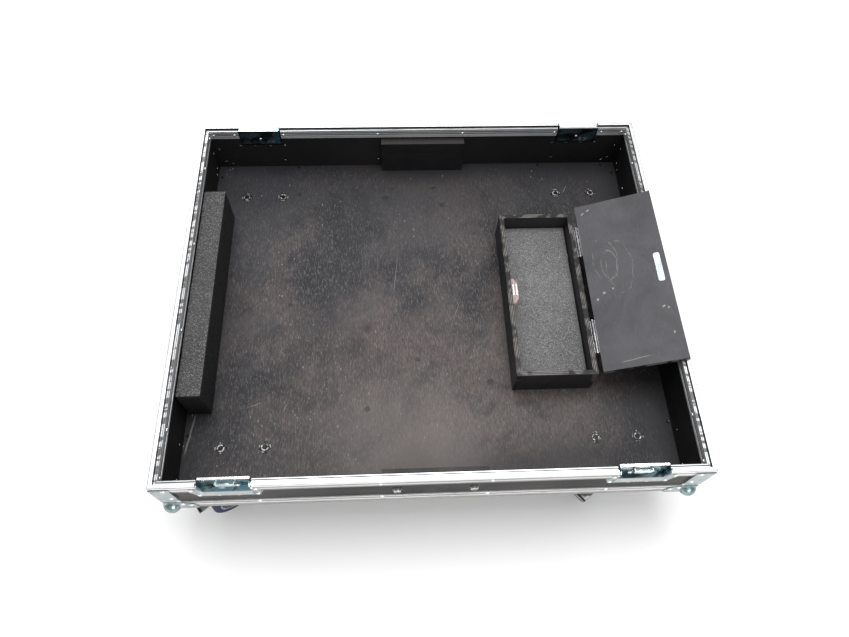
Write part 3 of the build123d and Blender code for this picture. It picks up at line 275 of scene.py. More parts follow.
def floor_material():
    g = Graph("floor_plywood", roughness=0.5, specular=0.2)
    patches = g.noise(g.placed(scale=(1.0, 0.8, 1.0)), 5.2, 7.0, 0.66, 0.4)
    cloud = g.noise(g.placed(move=(3.1, 1.7, 0)), 2.6, 6.0, 0.62)
    grain = g.noise(g.placed(scale=(420.0, 42.0, 30.0)), 1.0, 4.0, 0.75)
    pores = g.noise(g.placed(scale=(700.0, 90.0, 60.0)), 1.0, 3.0, 0.7)
    blots = g.noise(g.placed(move=(1.9, 0.6, 0)), 17.0, 5.0, 0.6, 0.5)
    colour = g.mix(g.ramp(patches, 0.42, 0.58), (0.020, 0.020, 0.024), (0.056, 0.049, 0.049))
    colour = g.mix(g.ramp(cloud, 0.46, 0.64, 0.0, 0.75), colour, (0.100, 0.080, 0.075))
    colour = g.mix(g.ramp(blots, 0.54, 0.66, 0.0, 0.55), colour, (0.026, 0.025, 0.029))
    corners = [(i * SMUDGE_CENTRE[0], j * SMUDGE_CENTRE[1], FLOOR_TOP) for i in (-1, 1) for j in (-1, 1)]
    nuts = g.total([g.near(corner, 0.035, 0.075) for corner in corners])
    smudge = g.math("MULTIPLY", nuts, g.ramp(patches, 0.36, 0.60, 0.75, 0.25))
    colour = g.mix(smudge, colour, (0.028, 0.028, 0.034))
    colour = g.mix(g.ramp(grain, 0.56, 0.70, 0.0, 0.50), colour, (0.150, 0.137, 0.133))
    colour = g.mix(g.ramp(pores, 0.58, 0.72, 0.0, 0.5), colour, (0.024, 0.022, 0.023))
    grit = g.noise(g.placed(scale=(620.0, 120.0, 120.0)), 1.0, 2.0, 0.7)
    colour = g.mix(g.ramp(grit, 0.54, 0.66, 0.0, 0.50), colour, (0.185, 0.172, 0.168))
    colour = g.mix(g.ramp(grit, 0.34, 0.46, 0.60, 0.0), colour, (0.018, 0.018, 0.020))
    # Painted shade: the floor is painted darker in a frayed band along the walls.
    x = g.math("ABSOLUTE", g.axis(g.coords, "X"))
    y = g.math("ABSOLUTE", g.axis(g.coords, "Y"))
    frayed = g.math("MULTIPLY", g.math("SUBTRACT", cloud, 0.5), 0.30)
    wall_shade_x = g.ramp(g.math("ADD", x, frayed), 0.35, 0.45)
    wall_shade_y = g.ramp(g.math("ADD", y, frayed), 0.30, 0.38)
    colour = g.mix(g.math("MULTIPLY", g.math("MAXIMUM", wall_shade_x, wall_shade_y), 0.78), colour, (0.026, 0.025, 0.028))
    # Painted shade: the floor is painted darker towards the rear.
    back = g.ramp(g.axis(g.coords, "Y"), 0.10, 0.36, 0.0, 0.6)
    colour = g.mix(back, colour, (0.022, 0.021, 0.024))
    # Painted highlight: a soft lighter pool near the front of the floor stands in for the sheen of the lamp
    # above.
    painted_sheen_pool = g.math("MULTIPLY", g.near((-0.05, -0.31, FLOOR_TOP), 0.04, 0.17), 0.55)
    colour = g.mix(painted_sheen_pool, colour, (0.165, 0.142, 0.135))
    wet = g.ramp(g.noise(g.placed(move=(0.4, 5.2, 0)), 3.1, 4.0, 0.5, 1.2), 0.52, 0.60)
    colour = g.mix(g.math("MULTIPLY", wet, 0.35), colour, (0.040, 0.041, 0.047))
    dents = g.total([g.near((x0, y0, FLOOR_TOP), r * 0.25, r) for x0, y0, r in FLOOR_DENTS])
    colour = g.mix(g.math("MULTIPLY", dents, 0.65), colour, (0.018, 0.017, 0.018))
    marks = [
        g.stroke((x0, y0, FLOOR_TOP), (0, 0, -math.radians(a)), length, width)
        for x0, y0, a, length, width in FLOOR_SCRATCHES
    ]
    scratch = g.total(marks)
    colour = g.mix(g.math("MULTIPLY", scratch, 0.45), colour, (0.30, 0.29, 0.28))
    chips = g.ramp(g.cells(g.placed(scale=(90.0, 38.0, 38.0)), 1.0), 0.06, 0.12, 1.0, 0.0)
    rare = g.ramp(g.noise(g.coords, 9.0, 2.0), 0.48, 0.58)
    colour = g.mix(g.math("MULTIPLY", g.math("MULTIPLY", chips, rare), 0.6), colour, (0.30, 0.29, 0.28))
    g.colour(colour)
    g.rough(g.ramp(patches, 0.3, 0.7, 0.60, 0.42))
    height = g.math("SUBTRACT", g.math("MULTIPLY", grain, 0.22), g.math("MULTIPLY", dents, 0.9))
    g.bump(g.math("SUBTRACT", height, g.math("MULTIPLY", scratch, 0.2)), 0.55, 0.0016)
    return g.material


def panel_material():
    """Phenol-faced plywood of the walls, scuffed outside, with painted shade: the inner faces are painted
    near black, the faces outside lighter and browner.
    """
    g = Graph("shell_plywood", roughness=0.55, specular=0.25)
    patches = g.noise(g.coords, 5.0, 5.0, 0.6, 0.3)
    fine = g.noise(g.placed(scale=(40.0, 40.0, 300.0)), 1.0, 4.0, 0.7)
    speck = g.noise(g.coords, 700.0, 2.0, 0.6)
    # Painted shade: one plywood, in a shaded near black copy for the inner faces and a lighter, browner copy
    # for the faces outside.
    inner = g.mix(g.ramp(patches, 0.35, 0.7), (0.004, 0.004, 0.004), (0.011, 0.0105, 0.011))
    outer = g.mix(g.ramp(patches, 0.35, 0.7), (0.014, 0.0125, 0.012), (0.026, 0.023, 0.022))
    x = g.math("ABSOLUTE", g.axis(g.coords, "X"))
    y = g.math("ABSOLUTE", g.axis(g.coords, "Y"))
    outside = g.math("MAXIMUM", g.ramp(x, 0.4640, 0.4655), g.ramp(y, 0.3860, 0.3875))
    colour = g.mix(outside, inner, outer)
    streaks = g.math("MULTIPLY", g.ramp(fine, 0.52, 0.75), g.ramp(outside, 0.0, 1.0, 0.10, 0.40))
    colour = g.mix(streaks, colour, (0.075, 0.068, 0.064))
    scuffs = g.ramp(g.noise(g.placed(scale=(9.0, 9.0, 120.0)), 1.0, 5.0, 0.75, 1.5), 0.64, 0.72)
    worn = g.math("MULTIPLY", scuffs, g.ramp(outside, 0.0, 1.0, 0.06, 0.28))
    colour = g.mix(worn, colour, (0.13, 0.12, 0.115))
    colour = g.mix(g.ramp(speck, 0.62, 0.75, 0.0, 0.12), colour, (0.11, 0.105, 0.10))
    g.colour(colour)
    g.rough(g.ramp(patches, 0.3, 0.7, 0.62, 0.45))
    g.bump(g.math("ADD", g.math("MULTIPLY", speck, 0.5), fine), 0.25, 0.0006)
    return g.material


def layered_ply(name, lean, across, face=(0.034, 0.034, 0.037), marks=(), loops=()):
    """Black-stained plywood whose cut edges show pale veneers, stacked along across in a leaning frame."""
    g = Graph(name, roughness=0.5, specular=0.3)
    turned = g.placed(turn=(0, lean, 0))
    patches = g.noise(g.coords, 9.0, 5.0, 0.6, 0.5)
    grain = g.noise(g.placed(scale=(420.0, 40.0, 420.0), source=turned), 1.0, 5.0, 0.7)
    speck = g.noise(g.coords, 520.0, 2.0, 0.6)
    dark = tuple(0.72 * c for c in face)
    pale = tuple(1.8 * c for c in face)
    colour = g.mix(g.ramp(patches, 0.32, 0.68), dark, face)
    colour = g.mix(g.ramp(grain, 0.52, 0.76, 0.0, 0.45), colour, pale)
    colour = g.mix(g.ramp(speck, 0.66, 0.76, 0.0, 0.4), colour, (0.22, 0.22, 0.22))
    if marks or loops:
        strokes = [g.stroke(*mark) for mark in marks]
        rings = [g.math("MULTIPLY", g.loop(*loop), 0.42) for loop in loops]
        upper = Matrix.Rotation(-lean, 3, "Y") @ Vector((0, 0, 1))
        one_side = g.ramp(g.facing(tuple(upper)), 0.5, 0.8, 0.0, 0.6)
        colour = g.mix(g.math("MULTIPLY", g.total(strokes + rings), one_side), colour, (0.42, 0.40, 0.37))
    plies = g.wave(turned, PLY_WAVE, 0.6, across)
    broken = g.ramp(g.noise(g.placed(scale=(60.0, 60.0, 60.0)), 1.0, 1.0, 0.4), 0.40, 0.60)
    streaks = g.math("MULTIPLY", g.ramp(plies, 0.66, 0.92), broken)
    normal = Matrix.Rotation(-lean, 3, "Y") @ Vector([float(across == axis) for axis in "XYZ"])
    on_edge = g.ramp(g.math("ABSOLUTE", g.facing(tuple(normal))), 0.35, 0.6, 1.0, 0.0)
    edge = g.mix(g.math("MULTIPLY", streaks, 0.85), (0.008, 0.008, 0.008), (0.36, 0.33, 0.315))
    g.colour(g.mix(on_edge, colour, edge))
    g.rough(g.ramp(patches, 0.3, 0.7, 0.58, 0.42))
    g.bump(g.math("ADD", g.math("MULTIPLY", grain, 0.5), g.math("MULTIPLY", streaks, on_edge)), 0.4, 0.0007)
    return g.material


def lid_material():
    c, s = math.cos(LID_LEAN), math.sin(LID_LEAN)
    inner = 0.0017

    def on_lid(reach, y):
        return (HINGE.x + reach * c - inner * s, y, HINGE.z + reach * s + inner * c)

    marks = [
        (on_lid(reach, y), (0, LID_LEAN, -math.radians(a)), length, width)
        for reach, y, a, length, width in LID_SCRATCHES
    ]
    loops = [(on_lid(reach, y), LID_LEAN, radii, width) for reach, y, radii, width in LID_LOOPS]
    return layered_ply("lid_plywood", LID_LEAN, "Z", (0.064, 0.064, 0.071), marks, loops)


def catch_wood_material():
    g = Graph("catch_wood", roughness=0.6, specular=0.3)
    grain = g.noise(g.placed(scale=(500.0, 60.0, 500.0)), 1.0, 4.0, 0.7)
    blot = g.noise(g.coords, 120.0, 4.0, 0.6)
    colour = g.mix(g.ramp(grain, 0.35, 0.7), (0.26, 0.17, 0.155), (0.46, 0.34, 0.31))
    g.colour(g.mix(g.ramp(blot, 0.55, 0.7, 0.0, 0.6), colour, (0.12, 0.065, 0.055)))
    g.bump(grain, 0.4, 0.0004)
    return g.material


def block_material():
    g = Graph("block_paint", roughness=0.55, specular=0.25)
    patches = g.noise(g.coords, 14.0, 5.0, 0.65)
    grain = g.noise(g.placed(scale=(14.0, 260.0, 260.0)), 1.0, 5.0, 0.7)
    colour = g.mix(g.ramp(patches, 0.35, 0.7), (0.004, 0.004, 0.005), (0.010, 0.010, 0.011))
    # Painted light: the top face is painted lighter than the sides.
    up = g.ramp(g.facing((0, 0, 1)), 0.5, 0.8)
    colour = g.mix(g.math("MULTIPLY", up, 0.7), colour, (0.040, 0.037, 0.036))
    g.colour(g.mix(g.ramp(grain, 0.5, 0.72, 0.0, 0.3), colour, (0.030, 0.029, 0.029)))
    g.rough(g.ramp(patches, 0.3, 0.7, 0.6, 0.42))
    g.bump(grain, 0.35, 0.0006)
    return g.material


# ---- Metal ------------------------------------------------------------------------------------------
def drawn_metal(name, low, high, along, roughness=0.34, grime=0.25):
    """Extruded or rolled metal with fine lines along one axis, scratches and grime."""
    g = Graph(name, metallic=0.9)
    fine = tuple(14.0 if axis == along else 1400.0 for axis in "XYZ")
    lines = g.noise(g.placed(scale=fine), 1.0, 3.0, 0.7)
    blot = g.noise(g.coords, 22.0, 5.0, 0.65)
    tilted = g.placed(scale=(160.0, 160.0, 160.0), turn=(0.3, 0.5, 0.7))
    nicks = g.ramp(g.noise(tilted, 1.0, 4.0, 0.8, 2.0), 0.66, 0.72)
    colour = g.mix(g.ramp(lines, 0.3, 0.7), low, high)
    dirty = tuple(0.45 * c for c in low)
    colour = g.mix(g.ramp(blot, 0.56, 0.74, 0.0, grime), colour, dirty)
    g.colour(g.mix(g.math("MULTIPLY", nicks, 0.5), colour, dirty))
    uneven = g.ramp(blot, 0.3, 0.7, roughness - 0.08, roughness + 0.1)
    g.rough(g.math("ADD", uneven, g.math("MULTIPLY", lines, 0.08)))
    g.bump(g.math("SUBTRACT", lines, g.math("MULTIPLY", nicks, 0.8)), 0.18, 0.0003)
    return g.material


def rim_material(name, along, half):
    """Rim extrusion with painted light and shade: a bright shoulder, then valleys painted dark, a light
    ridge, a banded inner leg and a banded outer face.
    """
    g = Graph(name, metallic=0.75)
    fine = {"X": (14.0, 1400.0, 1400.0), "Y": (1400.0, 14.0, 1400.0)}[along]
    slow = {"X": (5.0, 60.0, 110.0), "Y": (60.0, 5.0, 110.0)}[along]
    lines = g.noise(g.placed(scale=fine), 1.0, 3.0, 0.7)
    sheen = g.noise(g.placed(scale=slow), 1.0, 3.0, 0.6)
    blot = g.noise(g.coords, 24.0, 5.0, 0.7)
    place = g.math("ABSOLUTE", g.axis(g.coords, "Y" if along == "X" else "X"))
    inward = g.math("SUBTRACT", half, place)
    height = g.axis(g.coords, "Z")
    dark, white = (0.030, 0.032, 0.035), (0.97, 0.97, 0.97)
    colour = g.mix(g.ramp(lines, 0.3, 0.7), (0.78, 0.79, 0.80), white)
    # Painted shade: the outermost fillet of the shoulder is painted dark grey.
    colour = g.mix(g.ramp(inward, 0.0010, 0.0014, 1.0, 0.0), colour, (0.13, 0.135, 0.14))
    colour = g.mix(g.ramp(lines, 0.60, 0.66, 0.0, 0.5), colour, (0.40, 0.41, 0.42))
    # Painted shade and light across the profile: the two valleys are painted dark, the ridges beside them
    # light.
    colour = g.mix(g.ramp(inward, 0.0072, 0.0075), colour, dark)
    colour = g.mix(g.ramp(inward, 0.0082, 0.0086), colour, (0.80, 0.81, 0.82))
    colour = g.mix(g.ramp(inward, 0.0104, 0.0108), colour, dark)
    colour = g.mix(g.ramp(inward, 0.0117, 0.0121), colour, (0.66, 0.67, 0.68))
    # Darker broken dashes over the valley and ridge of the side rims.
    if along == "Y":
        ticks = g.ramp(g.noise(g.placed(scale=(30.0, 160.0, 30.0)), 1.0, 1.0, 0.4), 0.50, 0.56)
        valley = g.math("MULTIPLY", g.ramp(inward, 0.0070, 0.0074), g.ramp(inward, 0.0136, 0.0139, 1.0, 0.0))
        worn = g.math("MULTIPLY", g.math("MULTIPLY", ticks, valley), 0.8)
        colour = g.mix(worn, colour, (0.045, 0.046, 0.050))
    # Painted light and shade: light and dark bands along the inner leg, with its lower part painted light.
    bands = g.wave(g.placed(move=(0, 0, 0.0012)), 60.0, 0.0, "Z")
    leg = g.mix(g.ramp(bands, 0.35, 0.65), (0.16, 0.165, 0.17), (0.88, 0.89, 0.90))
    leg = g.mix(g.ramp(height, 0.228, 0.240), (0.80, 0.81, 0.82), leg)
    colour = g.mix(g.ramp(inward, 0.0137, 0.0139), colour, leg)
    # Painted light and shade on the outer face: a bright band at the top, with darker and lighter bands below
    # it.
    warped = g.math("ADD", height, g.math("MULTIPLY", g.math("SUBTRACT", sheen, 0.5), 0.010))
    outside = g.mix(g.ramp(warped, 0.2475, 0.2500), (0.30, 0.30, 0.30), (0.90, 0.90, 0.91))
    outside = g.mix(g.ramp(warped, 0.2405, 0.2425, 1.0, 0.0), outside, (0.74, 0.74, 0.74))
    outside = g.mix(g.ramp(warped, 0.2330, 0.2350, 1.0, 0.0), outside, (0.22, 0.215, 0.21))
    colour = g.mix(g.ramp(inward, 0.0002, 0.0006, 1.0, 0.0), colour, outside)
    g.colour(g.mix(g.ramp(blot, 0.58, 0.74, 0.0, 0.25), colour, (0.18, 0.18, 0.18)))
    g.rough(g.ramp(blot, 0.3, 0.7, 0.28, 0.45))
    g.bump(lines, 0.18, 0.0003)
    return g.material


def bottom_edge_material(name, along):
    """Bottom edge extrusion: painted light and shade in light and dark lines along its length, darker on the
    lower half, with grime blots.
    """
    g = Graph(name, metallic=0.75)
    fine = {"X": (14.0, 1400.0, 1400.0), "Y": (1400.0, 14.0, 1400.0)}[along]
    slow = {"X": (4.0, 60.0, 110.0), "Y": (60.0, 4.0, 110.0)}[along]
    lines = g.noise(g.placed(scale=fine), 1.0, 3.0, 0.7)
    sheen = g.noise(g.placed(scale=slow), 1.0, 3.0, 0.6)
    blot = g.noise(g.coords, 24.0, 5.0, 0.7)
    height = g.math("ADD", g.axis(g.coords, "Z"), g.math("MULTIPLY", g.math("SUBTRACT", sheen, 0.5), 0.010))
    # Painted light and shade: the tone changes by height into light and dark bands, darker towards the
    # bottom.
    painted_bands = (
        (0.1600, (0.36, 0.36, 0.36)),
        (0.1535, (0.10, 0.10, 0.10)),
        (0.1510, (0.86, 0.86, 0.87)),
        (0.1440, (0.40, 0.39, 0.38)),
        (0.1362, (0.10, 0.095, 0.09)),
        (0.1338, (0.34, 0.32, 0.30)),
    )
    colour = g.mix(g.ramp(lines, 0.3, 0.7), (0.82, 0.82, 0.83), (0.97, 0.97, 0.97))
    for top, tone in painted_bands:
        colour = g.mix(g.ramp(height, top - 0.0008, top + 0.0006, 1.0, 0.0), colour, tone)
    colour = g.mix(g.ramp(lines, 0.42, 0.72, 0.0, 0.35), colour, (0.75, 0.75, 0.76))
    g.colour(g.mix(g.ramp(blot, 0.56, 0.72, 0.0, 0.35), colour, (0.16, 0.15, 0.14)))
    g.rough(g.ramp(blot, 0.3, 0.7, 0.3, 0.48))
    g.bump(lines, 0.18, 0.0003)
    return g.material


def zinc_material(name, low, high, roughness, tint, cell=90.0):
    """Zinc plate: soft spangle, faint blue and green bloom, scratches."""
    g = Graph(name, metallic=1.0)
    spangle = g.cells(g.placed(scale=(1, 1, 1)), cell)
    bloom = g.noise(g.coords, 34.0, 4.0, 0.6, 0.8)
    tilted = g.placed(scale=(70.0, 300.0, 300.0), turn=(0.4, 0.2, 0.6))
    scuff = g.ramp(g.noise(tilted, 1.0, 4.0, 0.8, 1.2), 0.62, 0.7)
    colour = g.mix(g.ramp(spangle, 0.1, 0.9, 0.2, 0.8), low, high)
    colour = g.mix(g.ramp(bloom, 0.5, 0.68, 0.0, 0.6), colour, tint)
    g.colour(g.mix(g.math("MULTIPLY", scuff, 0.4), colour, tuple(0.5 * c for c in low)))
    uneven = g.ramp(bloom, 0.3, 0.7, roughness - 0.06, roughness + 0.08)
    g.rough(g.math("ADD", uneven, g.math("MULTIPLY", scuff, 0.12)))
    g.bump(g.math("ADD", g.math("MULTIPLY", spangle, 0.4), bloom), 0.16, 0.0005)
    return g.material


def dish_material():
    """Latch dishes: blue-grey zinc, with painted shade making the recess darker and bluer, painted glints on
    its facets and painted highlights along the lips and the top edge.
    """
    g = Graph("dish_steel", metallic=1.0)
    bloom = g.noise(g.coords, 38.0, 4.0, 0.6, 0.8)
    facets = g.noise(g.placed(scale=(26.0, 60.0, 40.0), turn=(0.2, 0.7, 0.3)), 1.0, 2.0, 0.5, 0.6)
    tilted = g.placed(scale=(70.0, 300.0, 300.0), turn=(0.4, 0.2, 0.6))
    scuff = g.ramp(g.noise(tilted, 1.0, 4.0, 0.8, 1.2), 0.62, 0.7)
    inward = g.math("SUBTRACT", HALF_DEPTH, g.math("ABSOLUTE", g.axis(g.coords, "Y")))
    colour = g.mix(g.ramp(bloom, 0.35, 0.65), (0.19, 0.24, 0.245), (0.37, 0.43, 0.425))
    # Painted shade and highlight: the recess is painted dark and blue, with painted glints on its facets.
    recess = g.mix(g.ramp(facets, 0.42, 0.56), (0.028, 0.050, 0.058), (0.20, 0.30, 0.33))
    recess = g.mix(g.ramp(facets, 0.55, 0.60), recess, (0.10, 0.27, 0.34))
    recess = g.mix(g.ramp(facets, 0.62, 0.68), recess, (0.80, 0.87, 0.89))
    colour = g.mix(g.ramp(inward, 0.0015, 0.0035), colour, recess)
    # Painted highlight along the lips around the recess.
    sideways = g.ramp(g.math("ABSOLUTE", g.facing((0, 1, 0))), 0.75, 0.96, 1.0, 0.0)
    lip_highlight = g.math("MULTIPLY", sideways, g.ramp(inward, 0.0030, 0.0048, 1.0, 0.0))
    colour = g.mix(g.math("MULTIPLY", lip_highlight, 0.85), colour, (0.94, 0.96, 0.97))
    # Painted highlight along the top edge.
    top_edge_highlight = g.math("MULTIPLY", g.ramp(inward, 0.0124, 0.0129), g.ramp(g.axis(g.coords, "Z"), 0.2525, 0.2535))
    colour = g.mix(top_edge_highlight, colour, (0.92, 0.94, 0.95))
    g.colour(g.mix(g.math("MULTIPLY", scuff, 0.35), colour, (0.50, 0.54, 0.55)))
    g.rough(g.math("ADD", g.ramp(bloom, 0.3, 0.7, 0.16, 0.30), g.math("MULTIPLY", scuff, 0.12)))
    g.bump(g.math("ADD", facets, bloom), 0.16, 0.0006)
    return g.material


def rivet_material():
    """Bright heads outside; the tails inside the case are dull and painted dark as shade, with lighter blots.
    """
    g = Graph("rivet_steel", metallic=0.9)
    spangle = g.cells(g.coords, 400.0)
    blot = g.noise(g.coords, 28.0, 4.0, 0.7)
    colour = g.mix(g.ramp(spangle, 0.1, 0.8), (0.66, 0.67, 0.68), (0.95, 0.95, 0.95))
    x = g.ramp(g.math("ABSOLUTE", g.axis(g.coords, "X")), 0.4560, 0.4566, 1.0, 0.0)
    y = g.ramp(g.math("ABSOLUTE", g.axis(g.coords, "Y")), 0.3780, 0.3786, 1.0, 0.0)
    height = g.axis(g.coords, "Z")
    low = g.math("MULTIPLY", g.ramp(height, 0.1360, 0.1370), g.ramp(height, 0.226, 0.230, 1.0, 0.0))
    inside = g.math("MULTIPLY", g.math("MULTIPLY", x, y), low)
    # Painted shade: the tails inside the case are painted dark.
    shaded_tail = g.mix(g.ramp(blot, 0.60, 0.66), (0.022, 0.022, 0.022), (0.42, 0.42, 0.42))
    g.colour(g.mix(inside, colour, shaded_tail))
    g.rough(g.math("ADD", g.ramp(blot, 0.3, 0.7, 0.24, 0.36), g.math("MULTIPLY", inside, 0.3)))
    g.bump(g.math("ADD", spangle, blot), 0.2, 0.0004)
    return g.material


def nut_material():
    """T-nuts and bolt ends: dark in the middle, with a worn light ring."""
    g = Graph("nut_steel", metallic=0.8)
    x = g.math("ABSOLUTE", g.math("SUBTRACT", g.math("ABSOLUTE", g.axis(g.coords, "X")), NUT_CENTRE[0]))
    x = g.math("SUBTRACT", x, NUT_HALF_PITCH)
    y = g.math("SUBTRACT", g.math("ABSOLUTE", g.axis(g.coords, "Y")), NUT_CENTRE[1])
    reach = g.math("SQRT", g.math("ADD", g.math("MULTIPLY", x, x), g.math("MULTIPLY", y, y)))
    blot = g.noise(g.coords, 160.0, 4.0, 0.7)
    ring = g.math("MULTIPLY", g.ramp(reach, 0.0044, 0.0052), g.ramp(reach, 0.0062, 0.0074, 1.0, 0.0))
    worn = g.math("MULTIPLY", ring, g.ramp(blot, 0.46, 0.56))
    colour = g.mix(g.ramp(blot, 0.4, 0.7), (0.012, 0.012, 0.012), (0.060, 0.058, 0.056))
    edge = g.math("MULTIPLY", g.ramp(reach, 0.0088, 0.0094), g.ramp(blot, 0.50, 0.58))
    colour = g.mix(g.math("MULTIPLY", edge, 0.7), colour, (0.45, 0.45, 0.44))
    g.colour(g.mix(g.math("MULTIPLY", worn, 0.8), colour, (0.60, 0.60, 0.59)))
    g.rough(g.ramp(blot, 0.3, 0.7, 0.35, 0.6))
    g.bump(blot, 0.3, 0.0005)
    return g.material


def strike_material():
    """Galvanised strike plate: bluish mottled face, with the faces that turn away from it near white."""
    g = Graph("strike_steel", metallic=0.85)
    mottle = g.cells(g.placed(scale=(1, 1, 1)), 240.0)
    bloom = g.noise(g.coords, 150.0, 4.0, 0.7)
    normal = (-math.sin(LID_LEAN), 0.0, math.cos(LID_LEAN))
    # The faces that turn away from the plate's face are made near white.
    border = g.ramp(g.facing(normal), 0.90, 0.99, 1.0, 0.0)
    colour = g.mix(g.ramp(mottle, 0.1, 0.8), (0.30, 0.36, 0.42), (0.62, 0.70, 0.76))
    colour = g.mix(g.ramp(bloom, 0.54, 0.66, 0.0, 0.6), colour, (0.68, 0.74, 0.78))
    g.colour(g.mix(border, colour, (0.96, 0.97, 0.98)))
    g.rough(g.ramp(bloom, 0.3, 0.7, 0.42, 0.62))
    g.bump(g.math("ADD", mottle, bloom), 0.3, 0.0005)
    return g.material


def bolt_material():
    """Bright bolt heads; the ends that show inside the T-nuts are painted dark as shade."""
    g = Graph("bolt_steel", metallic=0.95)
    spangle = g.cells(g.coords, 300.0)
    blot = g.noise(g.coords, 90.0, 4.0, 0.7)
    colour = g.mix(g.ramp(spangle, 0.1, 0.8), (0.24, 0.24, 0.24), (0.62, 0.62, 0.61))
    # Painted shade: the bolt ends inside the T-nuts are painted near black.
    inner = g.ramp(g.math("ABSOLUTE", g.axis(g.coords, "Y")), 0.355, 0.360, 1.0, 0.0)
    inner = g.math("MULTIPLY", inner, g.ramp(g.axis(g.coords, "Z"), 0.134, 0.135))
    g.colour(g.mix(inner, colour, (0.02, 0.02, 0.02)))
    g.rough(g.ramp(blot, 0.3, 0.7, 0.25, 0.42))
    g.bump(g.math("ADD", spangle, blot), 0.2, 0.0004)
    return g.material


# ---- Rubber, plastic and foam -----------------------------------------------------------------------
def tyre_material():
    g = Graph("blue_tyre", roughness=0.6, specular=0.4)
    dust = g.noise(g.coords, 60.0, 5.0, 0.7)
    grain = g.noise(g.coords, 900.0, 2.0, 0.6)
    colour = g.mix(g.ramp(dust, 0.4, 0.7), (0.005, 0.014, 0.052), (0.020, 0.036, 0.085))
    g.colour(g.mix(g.ramp(grain, 0.6, 0.75, 0.0, 0.4), colour, (0.09, 0.10, 0.13)))
    g.rough(g.ramp(dust, 0.3, 0.7, 0.5, 0.75))
    g.bump(grain, 0.3, 0.0004)
    return g.material


def hub_material():
    g = Graph("hub_plastic", roughness=0.45)
    dust = g.noise(g.coords, 70.0, 5.0, 0.7)
    grain = g.noise(g.coords, 1200.0, 2.0, 0.6)
    g.colour(g.mix(g.ramp(dust, 0.35, 0.7), (0.20, 0.21, 0.23), (0.36, 0.36, 0.38)))
    g.rough(g.ramp(dust, 0.3, 0.7, 0.4, 0.6))
    g.bump(grain, 0.2, 0.0003)
    return g.material


def foam_material(name, side, top, speck_colour):
    """Closed-cell foam: fine cells, pale specks, and painted light: a mottled upper face painted much lighter
    than the sides.
    """
    g = Graph(name, roughness=0.9, specular=0.15)
    cells = g.cells(g.coords, 520.0)
    speck = g.noise(g.coords, 420.0, 2.0, 0.8)
    pit = g.noise(g.placed(move=(0.7, 0.2, 0.9)), 380.0, 2.0, 0.8)
    blot = g.noise(g.coords, 16.0, 5.0, 0.6)
    # Painted light: the upper face is painted much lighter than the sides, with mottling.
    up = g.ramp(g.facing((0, 0, 1)), 0.35, 0.85)
    lit_top_mottle = g.mix(g.ramp(blot, 0.3, 0.7), tuple(0.8 * c for c in top), top)
    colour = g.mix(up, side, lit_top_mottle)
    specks = g.math("MULTIPLY", g.ramp(speck, 0.52, 0.64), g.ramp(up, 0.0, 1.0, 0.15, 0.7))
    colour = g.mix(specks, colour, speck_colour)
    colour = g.mix(g.ramp(pit, 0.36, 0.47, 0.6, 0.0), colour, tuple(0.6 * c for c in side))
    colour = g.mix(g.ramp(cells, 0.0, 0.35, 0.6, 0.0), colour, tuple(0.35 * c for c in side))
    g.colour(colour)
    g.rough(g.ramp(blot, 0.3, 0.7, 0.96, 0.84))
    g.bump(g.math("ADD", cells, g.math("MULTIPLY", speck, 0.6)), 0.7, 0.0008)
    return g.material


def studio_material():
    g = Graph("studio_floor", roughness=0.9, specular=0.1)
    soft = g.noise(g.coords, 0.8, 3.0, 0.5)
    g.colour(g.mix(soft, (0.93, 0.93, 0.93), (0.95, 0.95, 0.95)))
    return g.material


def set_material(names, material):
    for name in names:
        data = NODES[name].data
        data.materials.clear()
        data.materials.append(material)


